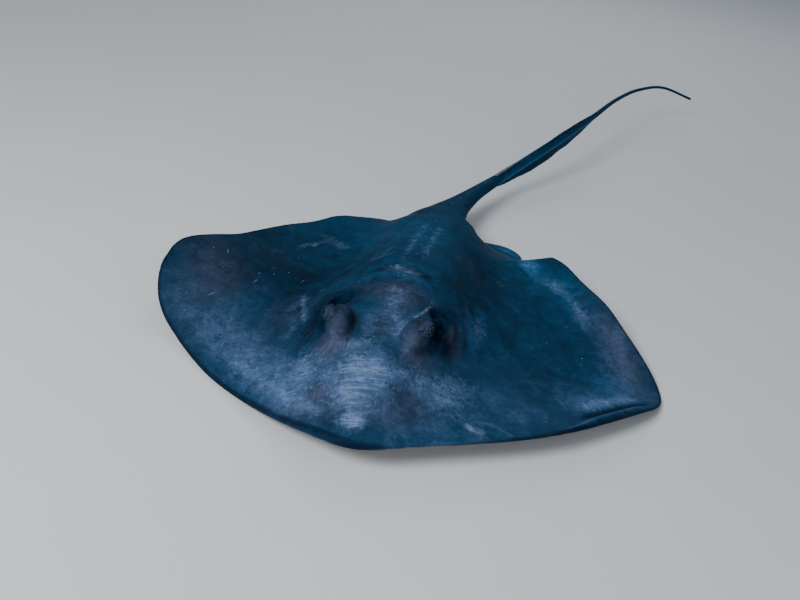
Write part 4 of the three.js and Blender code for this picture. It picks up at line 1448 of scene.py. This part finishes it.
def paint_eye(piece):
    """Iris, white, a pale ring, and a pupil under a fringed flap. w is 1 at the pupil."""
    m = Material("ray_eye")
    u, v, w = m.split("XYZ", m.attribute("look", "Vector"))
    iris = m.ramp(m.noise(900, 4, 0.6), (0.3, 6, 18, 34), (0.55, 18, 32, 52), (0.75, 52, 68, 92))
    white = m.mix(m.noise(400, 3, 0.5), rgb(4, 16, 32), rgb(14, 30, 50))
    m.colour = m.mix(m.step(w, 0.68, 0.72), white, iris)
    m.lay((74, 92, 118), m.step(w, 0.84, 0.88), m.step(w, 0.92, 0.89), 0.7)
    wide = m.math("POWER", m.math("DIVIDE", u, 0.4), 2.0)
    tall = m.math("POWER", m.math("DIVIDE", m.plus(v, 0.04), 0.28), 2.0)
    fringe = m.times(m.math("SINE", m.times(u, 34.0)), 0.035)
    flap = m.step(m.plus(v, fringe), 0.06, 0.09)
    m.lay((1, 3, 8), m.step(m.plus(wide, tall), 1.05, 0.95), m.math("SUBTRACT", 1.0, flap))
    m.finish(piece, 0.16, Coat_Weight=0.3, Coat_Roughness=0.04, Specular_IOR_Level=0.1)


def paint_sting(piece):
    m = Material("ray_sting")
    streak = m.streaks((700, 90, 400), -16, 4, 0.6)
    stain = m.noise(60, 4, 0.6)
    m.colour = m.ramp(streak, (0.3, 30, 52, 72), (0.55, 50, 76, 96), (0.75, 80, 104, 120))
    m.lay((20, 42, 62), m.step(stain, 0.45, 0.7, 0, 0.6))
    m.finish(piece, m.step(stain, 0.3, 0.7, 0.35, 0.55), m.bump(streak, 0.4, 0.0003))


def paint_floor(piece):
    m = Material("studio_floor")
    m.colour = m.mix(m.noise(3, 3, 0.5), rgb(206, 210, 214), rgb(213, 216, 219))
    m.finish(piece, 0.85)


paint_skin(skin)
paint_eye(eye_left)
paint_eye(eye_right)
paint_sting(sting)


# ---- The camera, the light and the floor ----

CAMERA_PLACE = (0.132, -1.258, 0.881)
CAMERA_TURNS = (-7, 32.5, 8)  # degrees: yaw to the right, pitch down, roll
LENS = 36
SENSOR = 36
FLOOR_REACH = 40
FLOOR_DROP = 5e-4  # the floor lies this far below the animal
# Name, place, what it is aimed at, width of the disc, power and colour.
LIGHTS = [
    ("key", (-1.3, -1.7, 2.2), (0, 0, 0), 1.3, 78, (1, 0.99, 0.97)),
    ("fill", (2.4, -0.8, 1.8), (0, 0, 0), 2.2, 9, (0.92, 0.96, 1)),
    ("back", (0.2, 3.2, 2.4), (0, 0.4, 0), 2.2, 22, (0.9, 0.95, 1)),
]
SKY = (0.75, 0.8, 0.86, 1)
SKY_STRENGTH = 0.42


def make_camera():
    yaw, pitch, roll = (math.radians(d) for d in CAMERA_TURNS)
    forward = Vector((
        math.sin(yaw) * math.cos(pitch), math.cos(yaw) * math.cos(pitch), -math.sin(pitch),
    ))
    level = Vector((math.cos(yaw), -math.sin(yaw), 0))
    upright = level.cross(forward)
    right = level * math.cos(roll) + upright * math.sin(roll)
    up = upright * math.cos(roll) - level * math.sin(roll)
    data = bpy.data.cameras.new("camera")
    data.lens = LENS
    data.sensor_width = SENSOR
    made = new_object("camera", data)
    turn = Matrix((right, up, -forward)).transposed().to_4x4()
    made.matrix_world = Matrix.Translation(CAMERA_PLACE) @ turn
    bpy.context.scene.camera = made


def make_light(name, at, target, size, power, colour):
    data = bpy.data.lights.new(name, "AREA")
    data.shape = "DISK"
    data.size = size
    data.energy = power
    data.color = colour
    made = new_object(name, data)
    made.location = at
    made.rotation_mode = "QUATERNION"
    made.rotation_quaternion = (Vector(target) - Vector(at)).to_track_quat("-Z", "Y")


def make_sky():
    world = bpy.data.worlds.new("studio")
    bpy.context.scene.world = world
    world.use_nodes = True
    backdrop = world.node_tree.nodes["Background"]
    backdrop.inputs["Color"].default_value = SKY
    backdrop.inputs["Strength"].default_value = SKY_STRENGTH


def make_floor(name):
    corners = [(x * FLOOR_REACH, y * FLOOR_REACH, -FLOOR_DROP)
               for x, y in ((-1, -1), (1, -1), (1, 1), (-1, 1))]
    mesh = bpy.data.meshes.new(name)
    mesh.from_pydata(corners, [], [(0, 1, 2, 3)])
    return new_object(name, mesh)


make_camera()
for light in LIGHTS:
    make_light(*light)
make_sky()
floor = make_floor("floor")
paint_floor(floor)
